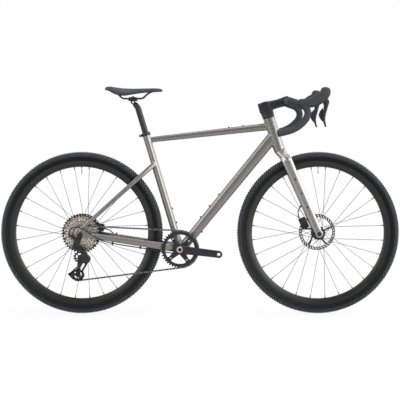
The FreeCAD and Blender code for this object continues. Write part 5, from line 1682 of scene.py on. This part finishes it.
class BICYCLE_OT_seat(bpy.types.Operator):
    """Seatpost, saddle clamp and the padded saddle on its rails."""
    bl_idname = "bicycle.seat"
    bl_label = "Seat"

    def execute(self, context):
        self.post()
        self.clamp()
        self.saddle()
        return {"FINISHED"}

    def post(self):
        lean = BARREL - POST_TOP
        bm = bmesh.new()
        rod(bm, seat(SEAT_TUBE_LENGTH - 130), POST_TOP, 13.55, None, 64)
        loft(bm, [
            section(bm, POST_TOP - SEAT_UP * 2, SEAT_UP, 27.1, 27.1, 2.0, 48),
            section(bm, POST_TOP + lean * 0.45, lean, 25, 24, 2.2, 48),
            section(bm, BARREL - lean.normalized() * 6, lean, 17, 17, 2.2, 48)])
        rod_y(bm, BARREL, 9.8, -17, 17, 48)
        skin = welded(bm, 1.0, 10, (), (drill_y(BARREL, 4.5, -40, 40),))
        piece(skin, "seat_post", "post", "black_alloy", "seatpost", angle=50.0)

    def clamp(self):
        bm = bmesh.new()
        for half_x, half_y, z0, z1 in ((19, 29, 4.5, 14.5), (16.5, 26, 15.5, 22.0)):
            part = bmesh.new()
            box(part, BARREL + Z_AXIS * (z0 + z1) / 2, (2 * half_x, 2 * half_y, z1 - z0))
            ease_edges(part, 2.2, 3)
            append(bm, part)
        bores = [drill_y(BARREL, 10.1, -60, 60)]
        for side in (1, -1):
            centre = point(BARREL.x, side * RAIL_Y, RAIL_Z)
            bores.append(drill(centre - X_AXIS * 60, centre + X_AXIS * 60, RAIL_R + 0.05, 24))
        skin = welded(bm, 0.8, 6, (), bores)
        piece(skin, "saddle_cradle", "clamp", "black_alloy", "saddle_clamp", angle=50.0)
        bm = bmesh.new()
        bolt(bm, BARREL + Z_AXIS * 21.6, Z_AXIS, 4.6, 5.0)
        piece(bm, "saddle_clamp_bolt", "clamp", "dark_steel")

    def saddle(self):
        bm = bmesh.new()
        loft(bm, [saddle_ring(bm, *row) for row in eased(SADDLE, 6)])
        for _ in range(2):
            bmesh.ops.smooth_vert(
                bm, verts=bm.verts, factor=0.3, use_axis_x=True, use_axis_y=True, use_axis_z=True)
        cover = piece(bm, "padded_saddle", "saddle", "saddle_skin", "saddle_cover", angle=60.0)
        dress("saddle_base", "black_plastic")
        bm = bmesh.new()
        for side in (1, -1):
            rows = (
                (SADDLE_REAR_X + 46, 30, SADDLE_TOP_Z - 17), (SADDLE_REAR_X + 58, 27, SADDLE_TOP_Z - 26),
                (BARREL.x - 48, RAIL_Y, RAIL_Z + 1), (BARREL.x - 30, RAIL_Y, RAIL_Z),
                (BARREL.x + 26, RAIL_Y, RAIL_Z),
                (BARREL.x + 46, 21, RAIL_Z + 2), (SADDLE_REAR_X + 184, 13, SADDLE_TOP_Z - 22),
                (SADDLE_REAR_X + 206, 11, SADDLE_TOP_Z - 14))
            append(bm, spline_mesh([point(x, side * y, z) for x, y, z in rows], RAIL_R, 10))
        piece(bm, "rails", "saddle", "black_alloy", "saddle_rails")


# Brakes, hoses and housing

PAD_CENTRE_R = 71.0


class BICYCLE_OT_brakes(bpy.types.Operator):
    """Calipers with their bolts, and the pads."""
    bl_idname = "bicycle.brakes"
    bl_label = "Brakes"

    def execute(self, context):
        leg_up = (LEG_TOP - FRONT_AXLE).normalized()
        stay_on = (CRANK_CENTRE - REAR_AXLE).normalized()
        self.caliper("front", "steering", FRONT_AXLE, leg_up, 38.0, FRONT_ROTOR_Y)
        self.caliper("rear", "frame", REAR_AXLE, stay_on, 31.0, REAR_ROTOR_Y)
        for name in ("front_inner_pad", "front_outer_pad", "rear_inner_pad", "rear_outer_pad"):
            dress(name, "pad")
        return {"FINISHED"}

    def caliper(self, name, body, axle, along, reach, rotor_y):
        """A caliper over the rotor's edge, at a reach from the leg or stay that carries it."""
        away = quarter_turn(along)
        centre = axle + along * math.sqrt(PAD_CENTRE_R**2 - reach**2) + away * reach
        bm = bmesh.new()

        def block(a0, a1, b0, b1, y0, y1):
            corners = ((a0, b0), (a1, b0), (a1, b1), (a0, b1))
            plate(bm, [centre + along * a + away * b for a, b in corners], rotor_y + y0, rotor_y + y1, 2.0)

        block(-25, 25, -16, 16.5, -10.6, 10.6)
        block(-17, 17, -17, 14, -11.5, 11.5)
        for side in (1, -1):
            spot = centre - away * 1.0
            y0, y1 = sorted((rotor_y + side * 8, rotor_y + side * 12.6))
            rod_y(bm, spot, 12.0, y0, y1, 40)
        slot = bmesh.new()
        pads = ROTOR_T / 2 + 2.85
        corners = ((-19, -29), (19, -29), (19, 39), (-19, 39))
        outline = [centre + along * a + away * (b * 0.8 + 4) for a, b in corners]
        plate(slot, outline, rotor_y - pads, rotor_y + pads)
        clear = ROTOR_T / 2 + 1
        disc = drill_y(axle, ROTOR_R + 2, rotor_y - clear, rotor_y + clear, 64)
        skin = welded(bm, 0.9, 8, (), (slot, disc))
        piece(skin, name + "_brake_caliper", body, "black_alloy", name + "_caliper", angle=50.0)
        bm = bmesh.new()
        for a in (-20, 20):
            bolt(bm, centre + along * a + away * 12 + Y_AXIS * (rotor_y - 10.4), -Y_AXIS, 3.6, 2.4)
        bolt(bm, centre + Y_AXIS * (rotor_y - 12.4), -Y_AXIS, 6.0, 1.4)
        piece(bm, name + "_caliper_bolts", body, "dark_steel")


class BICYCLE_OT_lines(bpy.types.Operator):
    """Shift housing with its clips, and the two short brake hoses."""
    bl_idname = "bicycle.lines"
    bl_label = "Hoses and housing"

    def execute(self, context):
        housing = [
            point(-566, -85.5, 343), point(-568, -87, 366), point(-556, -87, 386), point(-518, -87, 386),
            point(-478, -84, 362), point(-436, -78, 330), stay(0.68, -60, -20), stay(0.54, -52, -21.5),
            stay(0.40, -46, -21), stay(0.2, -36, -24), CRANK_CENTRE + point(-8, -28, -23.8)]
        bm = spline_mesh(housing, HOSE_R)
        for share, y in ((0.68, -60), (0.40, -46)):
            foot = stay(share, y, -25)
            rod(bm, foot, foot + Z_AXIS * 14, 4.6, 3.8, 16)
            bolt(bm, foot + Z_AXIS * 0.5, -Z_AXIS, 3.6, 2.0)
        rod(bm, point(-566, -85.5, 341), point(-567, -86.2, 354), 3.3, 3.1, 20)
        piece(bm, "shift_housing_line", "frame", "hose", "shift_housing")
        self.hose(
            "rear", "frame",
            [REAR_AXLE + point(89, 60, 14.4), REAR_AXLE + point(108, 60, 10.5), REAR_AXLE + point(122, 60, 4),
             stay(0.66, 60, 2)],
            ((REAR_AXLE + point(90, 60, 14.2), REAR_AXLE + point(102, 60, 12), 3.8, 3.2),
             (stay(0.66, 60, 13), stay(0.655, 60, 19), 4.4, 3.4)))
        self.hose(
            "front", "steering",
            [FRONT_AXLE + point(-80, 42, 60), FRONT_AXLE + point(-84, 42.6, 80),
             FRONT_AXLE + point(-84, 43.6, 98), FRONT_AXLE + point(-64, 46, 126)],
            ((FRONT_AXLE + point(-80, 42, 61), FRONT_AXLE + point(-82.6, 42.4, 73), 3.8, 3.2),
             (FRONT_AXLE + point(-76, 44.6, 108), FRONT_AXLE + point(-70, 45.4, 117), 3.6, 4.6)))
        return {"FINISHED"}

    def hose(self, name, body, route, ferrules):
        """A short hose with a ferrule at each end."""
        bm = spline_mesh(route, HOSE_R)
        for start, end, radius, end_radius in ferrules:
            rod(bm, start, end, radius, end_radius, 16)
        piece(bm, name + "_hose", body, "hose", name + "_brake_hose")


class BICYCLE_OT_stage(bpy.types.Operator):
    """Pale floor, soft lamps, white room and the camera."""
    bl_idname = "bicycle.stage"
    bl_label = "Stage"

    def execute(self, context):
        stage = context.scene.bicycle_stage
        bm = bmesh.new()
        bmesh.ops.create_grid(bm, x_segments=2, y_segments=2, size=30.0)
        mesh = bpy.data.meshes.new("studio_floor")
        bm.to_mesh(mesh)
        bm.free()
        mesh.materials.append(self.floor_material())
        floor = bpy.data.objects.new("studio_floor", mesh)
        context.collection.objects.link(floor)
        self.room(context.scene, stage.ambient)
        for name, power, place, aim, size in (
            ("left", stage.left_power, point(-3.3, -3.6, 1.9), 0.6, 3.0),
            ("right", stage.right_power, point(3.7, -3.2, 1.8), 0.6, 3.6),
            ("top", stage.top_power, point(0.2, -0.4, 4.2), 0.5, 3.2),
            ("back", 0.8 * stage.top_power, point(1.6, 3.6, 2.6), 0.6, 2.4),
        ):
            self.lamp(name, power, place, Z_AXIS * aim, size)
        data = bpy.data.cameras.new("camera")
        data.lens = stage.lens
        data.sensor_width = 36.0
        camera = bpy.data.objects.new("camera", data)
        camera.location = (stage.aim_forward, -stage.camera_distance, stage.camera_height)
        aim = point(stage.aim_forward, 0, stage.aim_height) - camera.location
        camera.rotation_euler = aim.to_track_quat("-Z", "Y").to_euler()
        context.collection.objects.link(camera)
        context.scene.camera = camera
        context.scene.view_settings.view_transform = "Standard"
        return {"FINISHED"}

    def lamp(self, name, power, place, target, size):
        data = bpy.data.lights.new(name, "AREA")
        data.energy = power
        data.shape = "DISK"
        data.size = size
        lamp = bpy.data.objects.new(name, data)
        lamp.location = place
        lamp.rotation_euler = (target - place).to_track_quat("-Z", "Y").to_euler()
        bpy.context.collection.objects.link(lamp)

    def ramp(self, tree, value, ends, results):
        """A value eased from one result to another between two ends."""
        node = tree.nodes.new("ShaderNodeMapRange")
        node.interpolation_type = "SMOOTHSTEP"
        for label, number in zip(("From Min", "From Max", "To Min", "To Max"), (*ends, *results)):
            node.inputs[label].default_value = number
        tree.links.new(value, node.inputs["Value"])
        return node.outputs["Result"]

    def floor_material(self):
        """Pale floor that turns plain white away from the bicycle, with the soft shadow kept near it."""
        material = bpy.data.materials.new("studio_floor")
        material.use_nodes = True
        tree = material.node_tree
        shader = tree.nodes["Principled BSDF"]
        shader.inputs["Base Color"].default_value = (0.55, 0.55, 0.55, 1.0)
        shader.inputs["Roughness"].default_value = 0.9
        glow = tree.nodes.new("ShaderNodeEmission")
        glow.inputs["Color"].default_value = (1.0, 1.0, 1.0, 1.0)
        reach = tree.nodes.new("ShaderNodeVectorMath")
        reach.operation = "LENGTH"
        place = tree.nodes.new("ShaderNodeTexCoord")
        tree.links.new(place.outputs["Object"], reach.inputs[0])
        fade = self.ramp(tree, reach.outputs["Value"], (0.9, 2.2), (0.88, 1.0))
        mix = tree.nodes.new("ShaderNodeMixShader")
        path = tree.nodes.new("ShaderNodeLightPath")
        seen = math_node(tree, "MULTIPLY", path.outputs["Is Camera Ray"], fade)
        tree.links.new(seen, mix.inputs["Fac"])
        tree.links.new(shader.outputs["BSDF"], mix.inputs[1])
        tree.links.new(glow.outputs["Emission"], mix.inputs[2])
        tree.links.new(mix.outputs["Shader"], tree.nodes["Material Output"].inputs["Surface"])
        return material

    def room(self, scene, ambient):
        """White where the camera looks; for all other rays bright at both sides and dim ahead and behind."""
        world = bpy.data.worlds.new("room")
        world.use_nodes = True
        tree = world.node_tree
        background = tree.nodes["Background"]
        background.inputs["Color"].default_value = (1.0, 1.0, 1.0, 1.0)
        place = tree.nodes.new("ShaderNodeTexCoord")
        split = tree.nodes.new("ShaderNodeSeparateXYZ")
        tree.links.new(place.outputs["Generated"], split.inputs["Vector"])
        total = 0.30 * ambient
        for axis, ends, share in (("X", (0.0, 0.8), 5.2), ("X", (-0.1, -0.85), 2.6), ("Z", (0.0, 0.9), 0.6)):
            lift = self.ramp(tree, split.outputs[axis], ends, (0.0, share * ambient))
            total = math_node(tree, "ADD", lift, total)
        path = tree.nodes.new("ShaderNodeLightPath")
        strength = math_node(tree, "MAXIMUM", path.outputs["Is Camera Ray"], total)
        tree.links.new(strength, background.inputs["Strength"])
        scene.world = world


class BICYCLE_PT_panel(bpy.types.Panel):
    """Colours, detail and the steps that build the bicycle."""
    bl_idname = "BICYCLE_PT_panel"
    bl_label = "Gravel Bicycle"
    bl_space_type = "VIEW_3D"
    bl_region_type = "UI"
    bl_category = "Bicycle"

    def draw(self, context):
        scene = context.scene
        for group in (scene.bicycle_colours, scene.bicycle_detail, scene.bicycle_stage):
            column = self.layout.box()
            for name in group.__annotations__:
                column.prop(group, name)
        for operator in OPERATORS:
            self.layout.operator(operator.bl_idname)


OPERATORS = (
    BICYCLE_OT_stage, BICYCLE_OT_frame, BICYCLE_OT_fork, BICYCLE_OT_wheels, BICYCLE_OT_cassette,
    BICYCLE_OT_chain, BICYCLE_OT_crankset, BICYCLE_OT_derailleur, BICYCLE_OT_cockpit, BICYCLE_OT_levers,
    BICYCLE_OT_seat, BICYCLE_OT_brakes, BICYCLE_OT_lines)
CLASSES = (BicycleColours, BicycleDetail, BicycleStage, *OPERATORS, BICYCLE_PT_panel)


def register():
    for item in CLASSES:
        bpy.utils.register_class(item)
    bpy.types.Scene.bicycle_colours = PointerProperty(type=BicycleColours)
    bpy.types.Scene.bicycle_detail = PointerProperty(type=BicycleDetail)
    bpy.types.Scene.bicycle_stage = PointerProperty(type=BicycleStage)


def unregister():
    del bpy.types.Scene.bicycle_stage
    del bpy.types.Scene.bicycle_detail
    del bpy.types.Scene.bicycle_colours
    for item in reversed(CLASSES):
        bpy.utils.unregister_class(item)


def main():
    register()
    bpy.ops.bicycle.stage()
    bpy.ops.bicycle.frame()
    bpy.ops.bicycle.fork()
    bpy.ops.bicycle.wheels()
    bpy.ops.bicycle.cassette()
    bpy.ops.bicycle.chain()
    bpy.ops.bicycle.crankset()
    bpy.ops.bicycle.derailleur()
    bpy.ops.bicycle.cockpit()
    bpy.ops.bicycle.levers()
    bpy.ops.bicycle.seat()
    bpy.ops.bicycle.brakes()
    bpy.ops.bicycle.lines()


if __name__ == "__main__":
    main()
